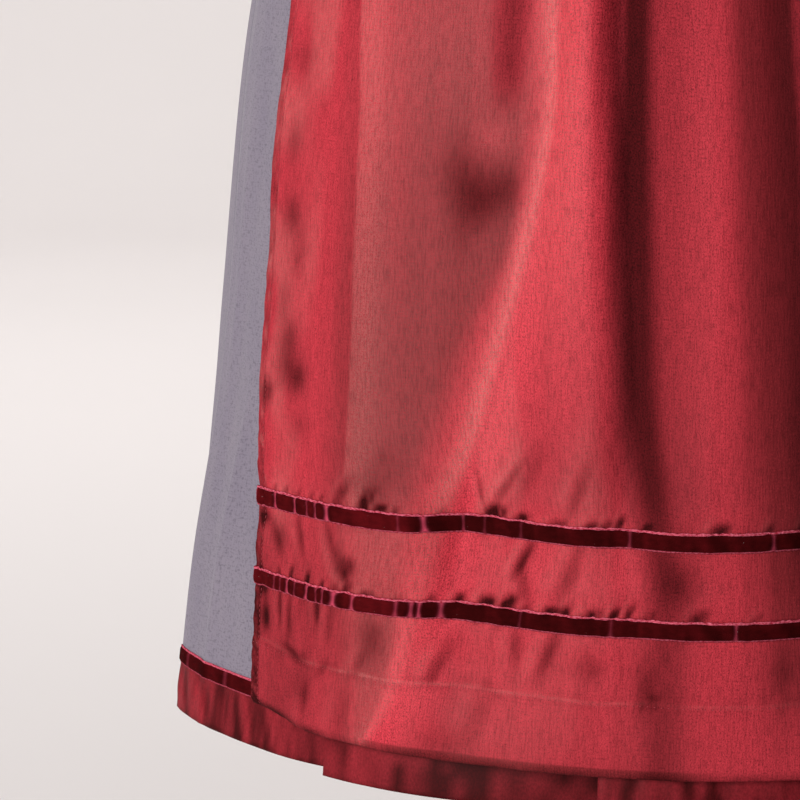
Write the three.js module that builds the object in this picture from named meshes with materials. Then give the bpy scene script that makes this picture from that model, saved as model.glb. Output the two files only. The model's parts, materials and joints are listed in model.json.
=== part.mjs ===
// A dirndl: a grey cotton dress with a pleated skirt, a satin hem border and a velvet ribbon over
// its join, a low buttoned bodice on two straps, and a shot taffeta apron with two velvet ribbons.
// Millimetres, +Z up. The wearer faces -Y. The origin is the middle of the waist.
import * as THREE from 'three';

// ---------------------------------------------------------------- driving dimensions
const SKIRT_LENGTH = 700;            // waist seam to hem edge
const SKIRT_WALL = 1.4;
const SEAM_GAP = 0.3;                // clear space between two sewn pieces
const TRIM_GAP = 0.3;                // clear space under a trimming

const PLEAT_EDGES = [12, 42, 72, 102, 132, 162];  // degrees either side of the centre front
const PLEAT_OVERLAP = 13;            // how far a pleat's fold reaches over the next face
const FOLD_TURN = 3.2;               // width of the rounded folded edge
const FOLD_SHIFT = 0.4;              // the folded edge slants by this much
const FACE_STEPS = 3;                // columns across one pleat face
const FACE_RISE = { from: -0.25, to: 1 };         // share of a face over which it comes out
const SIDE_EDGE = 72;                // the face behind this edge stays in, then comes out late
const SIDE_RISE = { from: 0.35, to: 1.05 };
const BACK_FACE_END = 198;           // the last face spans the centre back
const BACK_FACE_RISE = 0.5;          // and comes out by half, over the first half of its width
const FRONT_PRESS = 9;               // the apron presses the skirt's front in by this much
const PRESS_SPAN = { from: 0.72, to: 0.92 };      // cosines of the azimuths it fades between
const PRESS_REACH = 90;              // fading out this far above the hem

const BORDER_HEIGHT = 31;            // satin border, up to the middle of its ribbon
const RIBBON_WIDTH = 10;
const RIBBON_WALL = 1.0;
const HEM_RIBBON_UP = 26;            // lower edge of the skirt's ribbon above the hem

const APRON_HEM_UP = 22;             // apron's lower edge above the skirt's
const APRON_TURN_UP = 39;            // depth of the apron's hem
const HEM_LIFT = 3.5;                // the hem rises towards its corners
const HEM_LIFT_FROM = 0.78;          // from this share of its half width
const APRON_WALL = 1.3;
const APRON_HEM_WALL = 1.6;
const APRON_COLUMNS = 54;
const EDGE_SHARE = 0.72;             // the apron's edges set back from this share of its half width
const LOWER_RIBBON_UP = 94;
const UPPER_RIBBON_UP = 138;
const GATHERS = 15;                  // small gathers under the waistband
const GATHER_HEIGHT = 1.3;
const GATHER_REACH = 110;            // they die out this far below the waistband

const BAND_HEIGHT = 30;
const BAND_FOOT = 0.3;               // its lower edge above the waist seam
const BAND_WALL = 2.2;
const BAND_GAP = 1.0;
const BAND_END = 74;                 // degrees either side of the centre front
const TIE_WALL = 1.4;
const TIE_END = 174;

const BODICE_WALL = 1.8;
const BODICE_ROWS = 8;
const STRAP_FRONT = { inner: 36, outer: 56 };     // azimuths of a strap's edges on the bodice
const STRAP_BACK = { inner: 152, outer: 132 };
const STRAP_COLUMNS = 4;
const STRAP_STEPS = 15;
const BUTTON_COUNT = 6;
const BUTTON_RADIUS = 6.5;
const BUTTON_TAPER = 0.86;           // its back is narrower
const BUTTON_SIDES = 16;
const BUTTON_THICK = 3.2;
const BUTTON_GAP = 0.6;
const BUTTON_AZIMUTH = 4.6;
const BUTTON_FIRST = 40;             // height of the lowest button above the waist
const BUTTON_PITCH = 29;

// ---------------------------------------------------------------- tables of form
// Skirt at its outermost folds, up from the hem: half width, depth over width, pleat stand.
const SKIRT_FORM = [
  { up: 0, radius: 304, aspect: 0.955, stand: 14 },
  { up: 90, radius: 293, aspect: 0.955, stand: 13 },
  { up: 190, radius: 276, aspect: 0.95, stand: 12 },
  { up: 400, radius: 252, aspect: 0.94, stand: 10 },
  { up: 560, radius: 208, aspect: 0.9, stand: 9 },
  { up: 650, radius: 161, aspect: 0.85, stand: 8 },
  { up: 685, radius: 140, aspect: 0.82, stand: 7.5 },
  { up: 700, radius: 131, aspect: 0.8, stand: 7.5 },
];

// Apron: how far its crests stand off the skirt, where its side edges hang, and their set-back.
const APRON_FORM = [
  { up: 22, standOff: 6.5, edge: 54, setBack: 8 },
  { up: 94, standOff: 16, edge: 52.4, setBack: 6 },
  { up: 138, standOff: 22, edge: 51.3, setBack: 3 },
  { up: 200, standOff: 22, edge: 55.2, setBack: 8 },
  { up: 300, standOff: 20, edge: 57.5, setBack: 12 },
  { up: 400, standOff: 18, edge: 58, setBack: 11 },
  { up: 560, standOff: 15, edge: 64, setBack: 8 },
  { up: 660, standOff: 10, edge: 70, setBack: 4 },
  { up: 700, standOff: 3.8, edge: 74, setBack: 0 },
];

// Apron's troughs, left to right: azimuth, depth and reach to either side at seven heights.
const FOLD_HEIGHTS = [22, 80, 138, 210, 300, 400, 700];
const FOLD_POWER = 1.7;              // 2 is a rounded trough, less is a sharper one
const APRON_FOLDS = [
  {
    azimuth: [-42, -43, -44, -45, -46, -47, -48],
    depth: [0.3, 0.6, 1, 1.5, 2, 2.5, 0.3],
    left: [5, 5, 5, 5.5, 6, 6, 6],
    right: [5, 4.5, 4, 4, 5, 5, 5],
  },
  {
    azimuth: [-22, -27, -26.8, -24.5, -20.8, -19.2, -20],
    depth: [3.5, 13, 21, 19, 17, 15, 0.3],
    left: [6, 4.5, 3.4, 8, 14, 15, 8],
    right: [10, 13, 13, 9, 4.5, 3, 6],
  },
  {
    azimuth: [-6, -8, -9.6, -9.2, -10.4, -11.8, -10],
    depth: [1, 3, 6, 14, 17, 18, 0.3],
    left: [4, 3.5, 2.6, 2.4, 2.1, 2, 4],
    right: [5, 3.5, 3, 4.5, 5, 5, 4],
  },
  {
    azimuth: [12, 11, 10, 9, 8, 7, 6],
    depth: [3, 10, 14, 15, 15, 15, 0.3],
    left: [7, 6.5, 6, 5.5, 5, 4.5, 4],
    right: [7, 6, 5, 4.5, 4, 4, 4],
  },
  {
    azimuth: [29, 28, 27, 26, 25, 24, 22],
    depth: [3, 12, 18, 18, 17, 16, 0.3],
    left: [8, 8.5, 9, 8.5, 8, 7, 6],
    right: [8, 6, 4, 5, 5.5, 6, 6],
  },
  {
    azimuth: [43, 42.5, 42, 42.2, 42.6, 43, 46],
    depth: [1, 5, 7, 7.5, 8, 8, 0.3],
    left: [4, 4, 4, 4, 4, 4, 5],
    right: [5, 5, 5, 5, 5, 5, 5],
  },
];

// Bodice sections above the waist: half width, half depth in front and behind, cup fullness.
const BODICE_FORM = [
  { up: 0, width: 131, front: 105, back: 105, cup: 0 },
  { up: 60, width: 137, front: 109, back: 107, cup: 0 },
  { up: 120, width: 147, front: 117, back: 111, cup: 3 },
  { up: 180, width: 154, front: 125, back: 115, cup: 11 },
  { up: 225, width: 157, front: 124, back: 116, cup: 8 },
  { up: 265, width: 158, front: 114, back: 113, cup: 2 },
  { up: 300, width: 158, front: 104, back: 108, cup: 0 },
];
const CUP_AZIMUTH = 30;
const CUP_SPREAD = 17;

// Upper edge of the bodice round the body: azimuth from the centre front, height.
const BODICE_TOP = [
  { azimuth: 0, up: 205 },
  { azimuth: 14, up: 208 },
  { azimuth: 26, up: 228 },
  { azimuth: 36, up: 262 },
  { azimuth: 56, up: 262 },
  { azimuth: 68, up: 226 },
  { azimuth: 82, up: 205 },
  { azimuth: 100, up: 205 },
  { azimuth: 118, up: 232 },
  { azimuth: 132, up: 286 },
  { azimuth: 152, up: 286 },
  { azimuth: 164, up: 276 },
  { azimuth: 180, up: 272 },
];

// Panels of the bodice between their seams, by the azimuths of their columns away from the
// centre front; a strap's edges and two points between them are always columns.
const FRONT_COLUMNS = [0, 7, 14, 20, 26, 31];
const SIDE_FRONT_COLUMNS = [31, 36, 42.7, 49.3, 56, 62, 68, 75, 82, 88];
const SIDE_BACK_COLUMNS = [88, 95, 104, 112, 120, 126, 132, 138.7, 145.3, 152];
const BACK_COLUMNS = [152, 158, 164, 172, 180, 188, 196, 202, 208];

// Middle line of a shoulder strap between its two seams, with the direction across it.
const STRAP_LINE = [
  { x: 106, y: -66, z: 322, acrossX: 21, acrossY: 8, acrossZ: 0 },
  { x: 98, y: -30, z: 366, acrossX: 22, acrossY: 2, acrossZ: -2 },
  { x: 95, y: 8, z: 379, acrossX: 22, acrossY: 0, acrossZ: -3 },
  { x: 94, y: 44, z: 364, acrossX: 22, acrossY: -3, acrossZ: -2 },
  { x: 95, y: 72, z: 328, acrossX: 21, acrossY: -8, acrossZ: 0 },
];

// Bow at the back: middle line of its right-hand loop from the knot and back, and its width.
const LOOP_LINE = [
  { x: 12, y: 7, z: 3, wide: 15 },
  { x: 38, y: 15, z: 6, wide: 27 },
  { x: 70, y: 20, z: 4, wide: 34 },
  { x: 92, y: 17, z: -1, wide: 35 },
  { x: 96, y: 9, z: -4, wide: 35 },
  { x: 74, y: 5, z: -4, wide: 33 },
  { x: 40, y: 4, z: -1, wide: 24 },
  { x: 12, y: 3, z: 0, wide: 15 },
];
const LOOP_STEPS = 18;
const KNOT = { halfWidth: 10, halfDepth: 7, halfHeight: 14 };
const TAIL_WIDTH = 34;
const TAIL_TOP = 693;                // heights above the hem
const TAIL_END = 455;
const TAIL_SLANT = 22;               // its end is cut on the slant
const TAIL_OUT = 5;                  // it hangs this far off the skirt
const TAIL_SPREAD = { top: 9.5, end: 30 };        // middle line, along the round from the centre
const TAIL_STEPS = 12;
const TAIL_COLUMNS = 4;
const TAIL_GATHER = 0.5;             // its top is drawn in to this share under the knot

// ---------------------------------------------------------------- materials
const greyCotton = () => new THREE.MeshStandardMaterial({ color: 0x9a929d, roughness: 0.9 });
const redTaffeta = () => new THREE.MeshStandardMaterial({ color: 0xb83642, roughness: 0.45 });
const redSatin = () => new THREE.MeshStandardMaterial({ color: 0x9c2831, roughness: 0.35 });
const velvet = () => new THREE.MeshStandardMaterial({ color: 0x3e070d, roughness: 0.95 });
const resin = () => new THREE.MeshStandardMaterial({ color: 0x6d6873, roughness: 0.5 });

// ---------------------------------------------------------------- small helpers
const rad = THREE.MathUtils.degToRad;
const point = (x, y, z) => new THREE.Vector3(x, y, z);
const range = (count) => Array.from({ length: count }, (_, i) => i);
const spread = (from, to, count) => range(count).map((i) => from + (to - from) * i / (count - 1));

// Smooth curve through a table's rows: value of one column where the key column equals at.
function follow(rows, key, column, at) {
  const last = rows.length - 1;
  const clamped = THREE.MathUtils.clamp(at, rows[0][key], rows[last][key]);
  const above = rows.findIndex((row) => row[key] > clamped);
  const i = above < 0 ? last - 1 : above - 1;
  const slope = (j) => {
    const a = rows[Math.max(j - 1, 0)];
    const b = rows[Math.min(j + 1, last)];
    return (b[column] - a[column]) / (b[key] - a[key]);
  };
  const width = rows[i + 1][key] - rows[i][key];
  const t = (clamped - rows[i][key]) / width;
  const hermite = [2 * t ** 3 - 3 * t ** 2 + 1, t ** 3 - 2 * t ** 2 + t, 3 * t ** 2 - 2 * t ** 3, t ** 3 - t ** 2];
  return hermite[0] * rows[i][column] + hermite[1] * width * slope(i)
    + hermite[2] * rows[i + 1][column] + hermite[3] * width * slope(i + 1);
}

// Value of a fold's column at a height, in soft steps between the heights of the fold table.
function foldValue(values, up) {
  const i = Math.max(0, FOLD_HEIGHTS.findIndex((height) => height >= up) - 1);
  const t = (up - FOLD_HEIGHTS[i]) / (FOLD_HEIGHTS[i + 1] - FOLD_HEIGHTS[i]);
  return values[i] + (values[i + 1] - values[i]) * THREE.MathUtils.smoothstep(t, 0, 1);
}

// A grid moved outwards along its own normals, mitred at sharp turns. grid[row][column] holds
// points, rows rising and columns to the viewer's right in front. A hanging cloth's normals are
// level, so that its edges stay level; a strip that turns over takes its rise from its rows.
const MITRE_LIMIT = 0.6;
function moved(grid, distance, hangs = true) {
  const rows = grid.length;
  const columns = grid[0].length;
  const vertical = point(0, 0, 1);
  return grid.map((line, r) => line.map((p, c) => {
    const above = grid[Math.min(r + 1, rows - 1)][c];
    const below = grid[Math.max(r - 1, 0)][c];
    const rise = hangs ? vertical : above.clone().sub(below);
    const before = line[Math.max(c - 1, 0)];
    const after = line[Math.min(c + 1, columns - 1)];
    const n1 = (c > 0 ? p.clone().sub(before) : after.clone().sub(p)).cross(rise).normalize();
    const n2 = (c < columns - 1 ? after.clone().sub(p) : p.clone().sub(before)).cross(rise).normalize();
    const middle = n1.clone().add(n2).normalize();
    const along = typeof distance === 'number' ? distance : distance(r);
    return p.clone().addScaledVector(middle, along / Math.max(middle.dot(n1), MITRE_LIMIT));
  }));
}

// A closed wall between an outer and an inner grid of the same size, with four rims.
function wall(outer, inner) {
  const rows = outer.length;
  const columns = outer[0].length;
  const positions = [...outer.flat(), ...inner.flat()].flatMap((p) => [p.x, p.y, p.z]);
  const faces = [];
  const quad = (a, b, c, d) => faces.push(a, b, c, a, c, d);
  const out = (r, c) => r * columns + c;
  const back = (r, c) => rows * columns + r * columns + c;
  for (let r = 0; r < rows - 1; r += 1) {
    for (let c = 0; c < columns - 1; c += 1) {
      quad(out(r, c), out(r, c + 1), out(r + 1, c + 1), out(r + 1, c));
      quad(back(r, c), back(r + 1, c), back(r + 1, c + 1), back(r, c + 1));
    }
    quad(out(r, 0), out(r + 1, 0), back(r + 1, 0), back(r, 0));
    quad(out(r, columns - 1), back(r, columns - 1), back(r + 1, columns - 1), out(r + 1, columns - 1));
  }
  for (let c = 0; c < columns - 1; c += 1) {
    quad(out(0, c), back(0, c), back(0, c + 1), out(0, c + 1));
    quad(out(rows - 1, c), out(rows - 1, c + 1), back(rows - 1, c + 1), back(rows - 1, c));
  }
  const geometry = new THREE.BufferGeometry();
  geometry.setAttribute('position', new THREE.Float32BufferAttribute(positions, 3));
  geometry.setIndex(faces);
  geometry.computeVertexNormals();
  return geometry;
}

const group = new THREE.Group();
function add(name, geometry, material) {
  const mesh = new THREE.Mesh(geometry, material);
  mesh.name = name;
  group.add(mesh);
}

// ---------------------------------------------------------------- skirt
// Point of the skirt's outer face: azimuth from the centre front, height above the hem,
// distance behind the outermost folds, and a shift along the round of the body.
function skirtPoint(azimuth, up, behind, shift) {
  const radius = follow(SKIRT_FORM, 'up', 'radius', up);
  const aspect = follow(SKIRT_FORM, 'up', 'aspect', up);
  const angle = rad(azimuth) + shift / radius;
  const front = THREE.MathUtils.smoothstep(Math.cos(angle), PRESS_SPAN.from, PRESS_SPAN.to);
  const r = radius - behind - FRONT_PRESS * front * THREE.MathUtils.smoothstep(up, 0, PRESS_REACH);
  return point(r * Math.sin(angle), -r * aspect * Math.cos(angle), up - SKIRT_LENGTH);
}

// How far a pleat face lies behind the folds: it leaves the inner edge deep and comes out
// to the next fold. side is -1 or 1, and azimuth is measured away from the centre front.
function faceDepth(away, stand) {
  const next = PLEAT_EDGES.findIndex((edge) => edge >= away);
  if (next === 0) return 0;
  if (next === -1) {
    const start = PLEAT_EDGES[PLEAT_EDGES.length - 1];
    const share = (away - start) / (BACK_FACE_END - start);
    return stand * (1 - BACK_FACE_RISE * THREE.MathUtils.smoothstep(share, 0, BACK_FACE_RISE));
  }
  const from = PLEAT_EDGES[next - 1];
  const rise = from === SIDE_EDGE ? SIDE_RISE : FACE_RISE;
  const t = (away - from) / (PLEAT_EDGES[next] - from);
  return stand * (1 - THREE.MathUtils.smoothstep(t, rise.from, rise.to));
}

// Columns of one half of the skirt between two azimuths away from the centre front. Each is a
// function of the height; a fold turns back under itself before the next face begins.
function pleatColumns(side, from, to) {
  const columns = [];
  const face = (away) => columns.push((up) => {
    const stand = follow(SKIRT_FORM, 'up', 'stand', up);
    return skirtPoint(side * away, up, faceDepth(away, stand), 0);
  });
  const turn = (edge, shift, behind) => columns.push((up) => {
    const stand = follow(SKIRT_FORM, 'up', 'stand', up);
    return skirtPoint(side * edge, up, behind(stand), side * shift);
  });
  const inside = PLEAT_EDGES.filter((edge) => edge > from && edge < to);
  const stops = [from, ...inside, to];
  stops.slice(1).forEach((stop, i) => {
    const start = stops[i];
    const startsAtFold = i > 0;
    range(FACE_STEPS).forEach((k) => {
      if (k > 0 || !startsAtFold) face(start + (stop - start) * k / FACE_STEPS);
    });
    if (i < inside.length) {
      turn(stop, 0, () => 0);
      turn(stop, FOLD_SHIFT, () => FOLD_TURN);
      turn(stop, -PLEAT_OVERLAP, (stand) => stand - FOLD_TURN);
      turn(stop, -PLEAT_OVERLAP + FOLD_SHIFT, (stand) => stand);
    }
  });
  face(to);
  return columns;
}

// The front half runs from the left side seam across the centre to the right one.
const frontColumns = [
  ...pleatColumns(-1, 0, 90).slice(1).reverse(),
  ...pleatColumns(1, 0, 90),
];
// The back half runs on from the right side seam across the centre back.
const backColumns = [
  ...pleatColumns(1, 90, 180),
  ...pleatColumns(-1, 90, 180).slice(0, -1).reverse(),
];

// Grid of a skirt piece, with its side edges drawn in by half a seam gap.
function skirtGrid(columns, ups) {
  return ups.map((up) => {
    const line = columns.map((column) => column(up));
    const drawIn = (edge, next) => edge.add(next.clone().sub(edge).setLength(SEAM_GAP / 2));
    drawIn(line[0], line[1]);
    drawIn(line[line.length - 1], line[line.length - 2]);
    return line;
  });
}

const ribbonTop = (up) => up + RIBBON_WIDTH;
const SKIRT_ROWS = [75, 130, 190, 270, 370, 470, 550, 610, 655, 685, SKIRT_LENGTH];
const skirtUps = [BORDER_HEIGHT + SEAM_GAP, ribbonTop(HEM_RIBBON_UP), ...SKIRT_ROWS];
const borderUps = [0, HEM_RIBBON_UP, BORDER_HEIGHT];
const cloth = (grid, thickness) => wall(grid, moved(grid, -thickness));
// A ribbon lies on a panel's own points, moved out.
const ribbonOn = (grid) => wall(moved(grid, TRIM_GAP + RIBBON_WALL), moved(grid, TRIM_GAP));
[['front', frontColumns], ['back', backColumns]].forEach(([half, columns]) => {
  add(`skirt_${half}`, cloth(skirtGrid(columns, skirtUps), SKIRT_WALL), greyCotton());
  add(`hem_border_${half}`, cloth(skirtGrid(columns, borderUps), SKIRT_WALL), redSatin());
  add(`hem_ribbon_${half}`, ribbonOn(skirtGrid(columns, [HEM_RIBBON_UP, ribbonTop(HEM_RIBBON_UP)])), velvet());
});

// ---------------------------------------------------------------- apron
// Outer face of the apron: the crests stand off the skirt, and each trough sinks between them.
function apronPoint(across, up) {
  const edge = follow(APRON_FORM, 'up', 'edge', up);
  const azimuth = across * edge;
  const towardsEdge = THREE.MathUtils.smoothstep(Math.abs(across), EDGE_SHARE, 1);
  let radius = follow(SKIRT_FORM, 'up', 'radius', up) + follow(APRON_FORM, 'up', 'standOff', up);
  radius -= towardsEdge * follow(APRON_FORM, 'up', 'setBack', up);
  APRON_FOLDS.forEach((fold) => {
    const away = azimuth - foldValue(fold.azimuth, up);
    const reach = foldValue(away < 0 ? fold.left : fold.right, up);
    radius -= foldValue(fold.depth, up) * Math.exp(-(Math.abs(away / reach) ** FOLD_POWER));
  });
  const gathered = THREE.MathUtils.smoothstep(up, SKIRT_LENGTH - GATHER_REACH, SKIRT_LENGTH);
  radius += GATHER_HEIGHT * gathered * Math.cos(across * GATHERS * Math.PI);
  const aspect = follow(SKIRT_FORM, 'up', 'aspect', up);
  const angle = rad(azimuth);
  const corner = THREE.MathUtils.smoothstep(Math.abs(across), HEM_LIFT_FROM, 1);
  const lift = HEM_LIFT * corner * (1 - THREE.MathUtils.smoothstep(up, APRON_HEM_UP, LOWER_RIBBON_UP));
  return point(radius * Math.sin(angle), -radius * aspect * Math.cos(angle), up + lift - SKIRT_LENGTH);
}

const apronAcross = spread(-1, 1, APRON_COLUMNS + 1);
const apronGrid = (ups) => ups.map((up) => apronAcross.map((across) => apronPoint(across, up)));

const APRON_ROWS = [185, 225, 270, 330, 395, 460, 520, 575, 620, 655, 680, SKIRT_LENGTH];
const apronUps = [
  APRON_HEM_UP, APRON_HEM_UP + APRON_TURN_UP, LOWER_RIBBON_UP, ribbonTop(LOWER_RIBBON_UP),
  UPPER_RIBBON_UP, ribbonTop(UPPER_RIBBON_UP), ...APRON_ROWS,
];
const apronOuter = apronGrid(apronUps);
const apronInner = moved(apronOuter, (row) => -(row < 2 ? APRON_HEM_WALL : APRON_WALL));
add('apron', wall(apronOuter, apronInner), redTaffeta());
[['lower', LOWER_RIBBON_UP], ['upper', UPPER_RIBBON_UP]].forEach(([place, up]) => {
  add(`apron_ribbon_${place}`, ribbonOn(apronGrid([up, ribbonTop(up)])), velvet());
});

// ---------------------------------------------------------------- bodice
// Outer face of the bodice: an oval section, deeper in front, with fullness over two cups.
function bodicePoint(azimuth, up, out = 0) {
  const angle = rad(azimuth);
  const width = follow(BODICE_FORM, 'up', 'width', up);
  const side = Math.cos(angle) > 0 ? 'front' : 'back';
  const depth = follow(BODICE_FORM, 'up', side, up);
  const around = Math.abs(((azimuth + 540) % 360) - 180);
  const cup = follow(BODICE_FORM, 'up', 'cup', up) * Math.exp(-(((around - CUP_AZIMUTH) / CUP_SPREAD) ** 2));
  const swell = 1 + (cup + out) / depth;
  return point(width * swell * Math.sin(angle), -depth * swell * Math.cos(angle), up);
}

// Height of the bodice's upper edge, straight between the rows of its table.
function topOfBodice(azimuth) {
  const around = Math.abs(((azimuth + 540) % 360) - 180);
  const i = Math.max(1, BODICE_TOP.findIndex((row) => row.azimuth >= around));
  const [low, high] = [BODICE_TOP[i - 1], BODICE_TOP[i]];
  return low.up + (high.up - low.up) * (around - low.azimuth) / (high.azimuth - low.azimuth);
}

// A panel's edges are drawn in by half a seam gap; its inner face follows the outer one.
function bodicePanel(name, azimuths) {
  const last = azimuths.length - 1;
  const halfGap = THREE.MathUtils.radToDeg(SEAM_GAP / 2 / BODICE_FORM[0].front);
  const columns = azimuths.map((azimuth, i) => azimuth + (i === 0 ? halfGap : 0) - (i === last ? halfGap : 0));
  const grid = (out) => spread(0, 1, BODICE_ROWS + 1).map((share) => columns.map((azimuth) => {
    const up = SEAM_GAP + share * (topOfBodice(azimuth) - SEAM_GAP);
    return bodicePoint(azimuth, up, out);
  }));
  add(name, wall(grid(0), grid(-BODICE_WALL)), greyCotton());
}
const otherSide = (azimuths) => azimuths.map((azimuth) => -azimuth).reverse();
bodicePanel('bodice_front_right', FRONT_COLUMNS);
bodicePanel('bodice_front_left', otherSide(FRONT_COLUMNS));
bodicePanel('bodice_side_front_right', SIDE_FRONT_COLUMNS);
bodicePanel('bodice_side_front_left', otherSide(SIDE_FRONT_COLUMNS));
bodicePanel('bodice_side_back_right', SIDE_BACK_COLUMNS);
bodicePanel('bodice_side_back_left', otherSide(SIDE_BACK_COLUMNS));
bodicePanel('bodice_back', BACK_COLUMNS);

// Straps: each column is a smooth line from the bodice's front edge over the shoulder to its
// back edge. The left strap is the right one mirrored, its columns turned round.
const onEdge = (azimuth, out = 0) => bodicePoint(azimuth, topOfBodice(azimuth), out)
  .add(point(0, 0, SEAM_GAP));
const strapShares = spread(0, 1, STRAP_COLUMNS);
const strapEnd = ({ inner, outer }, out) => strapShares.map((share) => onEdge(inner + (outer - inner) * share, out));
const strapLines = strapShares.map((share, c) => {
  const v = 2 * share - 1;
  const middle = STRAP_LINE.map((row) => point(
    row.x + v * row.acrossX, row.y + v * row.acrossY, row.z + v * row.acrossZ,
  ));
  return new THREE.CatmullRomCurve3([strapEnd(STRAP_FRONT)[c], ...middle, strapEnd(STRAP_BACK)[c]]);
});
const strapOuter = spread(0, 1, STRAP_STEPS).map((t) => strapLines.map((line) => line.getPoint(t)));
const strapInner = [
  strapEnd(STRAP_FRONT, -BODICE_WALL),
  ...moved(strapOuter, -BODICE_WALL, false).slice(1, -1),
  strapEnd(STRAP_BACK, -BODICE_WALL),
];
const flipped = (grid) => grid.map((line) => line.map((p) => point(-p.x, p.y, p.z)).reverse());
const freeCloth = (grid, thickness) => wall(grid, moved(grid, -thickness, false));
add('strap_right', wall(strapOuter, strapInner), greyCotton());
add('strap_left', wall(flipped(strapOuter), flipped(strapInner)), greyCotton());

// Buttons down the right front, each turned to lie on the cloth.
range(BUTTON_COUNT).forEach((i) => {
  const up = BUTTON_FIRST + i * BUTTON_PITCH;
  const rise = bodicePoint(BUTTON_AZIMUTH, up + 1).sub(bodicePoint(BUTTON_AZIMUTH, up - 1));
  const round = bodicePoint(BUTTON_AZIMUTH + 1, up).sub(bodicePoint(BUTTON_AZIMUTH - 1, up));
  const outward = round.cross(rise).normalize();
  const back = BUTTON_RADIUS * BUTTON_TAPER;
  const geometry = new THREE.CylinderGeometry(BUTTON_RADIUS, back, BUTTON_THICK, BUTTON_SIDES);
  const mesh = new THREE.Mesh(geometry, resin());
  mesh.quaternion.setFromUnitVectors(point(0, -1, 0), outward);
  mesh.position.copy(bodicePoint(BUTTON_AZIMUTH, up)).addScaledVector(outward, BUTTON_GAP + BUTTON_THICK / 2);
  mesh.name = `button_${i + 1}`;
  group.add(mesh);
});

// ---------------------------------------------------------------- waistband, ties and bow
const bandUps = spread(BAND_FOOT, BAND_FOOT + BAND_HEIGHT, 3);
// A band round the waist between two azimuths: its inner face stands off the dress.
function band(from, to, count, thickness) {
  const grid = (out) => bandUps.map((up) => spread(from, to, count).map(
    (azimuth) => bodicePoint(azimuth, up, out),
  ));
  return wall(grid(BAND_GAP + thickness), grid(BAND_GAP));
}
const joinGap = THREE.MathUtils.radToDeg(SEAM_GAP / BODICE_FORM[0].front);
add('apron_waistband', band(-BAND_END, BAND_END, 31, BAND_WALL), redTaffeta());
add('apron_tie_right', band(BAND_END + joinGap, TIE_END, 19, TIE_WALL), redTaffeta());
add('apron_tie_left', band(-TIE_END, -BAND_END - joinGap, 19, TIE_WALL), redTaffeta());

// The knot closes the gap between the ties' ends at the centre back.
const knotMiddle = bodicePoint(180, BAND_FOOT + BAND_HEIGHT / 2, BAND_GAP + TIE_WALL + TRIM_GAP);
const knot = new THREE.Mesh(new THREE.SphereGeometry(1, 16, 10), redTaffeta());
knot.scale.set(KNOT.halfWidth, KNOT.halfDepth, KNOT.halfHeight);
knot.position.copy(knotMiddle).add(point(0, KNOT.halfDepth, 0));
knot.name = 'bow_knot';
group.add(knot);

// A loop leaves the knot, turns round and comes back under itself.
const loopCurve = new THREE.CatmullRomCurve3(LOOP_LINE.map((row) => point(row.x, row.y, row.z)));
const loopGrid = spread(0, 1, LOOP_STEPS).map((t) => {
  const wide = follow(LOOP_LINE.map((row, i) => ({ ...row, i })), 'i', 'wide', t * (LOOP_LINE.length - 1));
  return [0.5, 0, -0.5].map((share) => loopCurve.getPoint(t).add(knotMiddle).add(point(0, 0, share * wide)));
});
add('bow_loop_right', freeCloth(loopGrid, TIE_WALL), redTaffeta());
add('bow_loop_left', freeCloth(flipped(loopGrid), TIE_WALL), redTaffeta());

// A tail hangs over the skirt's back, spreading from the centre.
const tailShares = spread(-0.5, 0.5, TAIL_COLUMNS);
const tailGrid = spread(0, 1, TAIL_STEPS).map((t) => tailShares.map((share) => {
  const end = TAIL_END + TAIL_SLANT * share;
  const up = end + (TAIL_TOP - end) * t;
  const middle = TAIL_SPREAD.end + (TAIL_SPREAD.top - TAIL_SPREAD.end) * t;
  const width = TAIL_WIDTH * (1 - TAIL_GATHER * t * t);
  return skirtPoint(180, up, -TAIL_OUT, share * width - middle);
}));
add('bow_tail_right', cloth(tailGrid, TIE_WALL), redTaffeta());
add('bow_tail_left', cloth(flipped(tailGrid), TIE_WALL), redTaffeta());

export default group;
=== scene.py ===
"""A dirndl: grey cotton dress with a satin hem border, and a shot taffeta apron with velvet ribbons.

Sizes in the tables are millimetres; meshes are in metres. Azimuth is measured in degrees from the
centre front, positive to the viewer's right. Height is measured up from the skirt's hem.
"""
import json
import math

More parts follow.
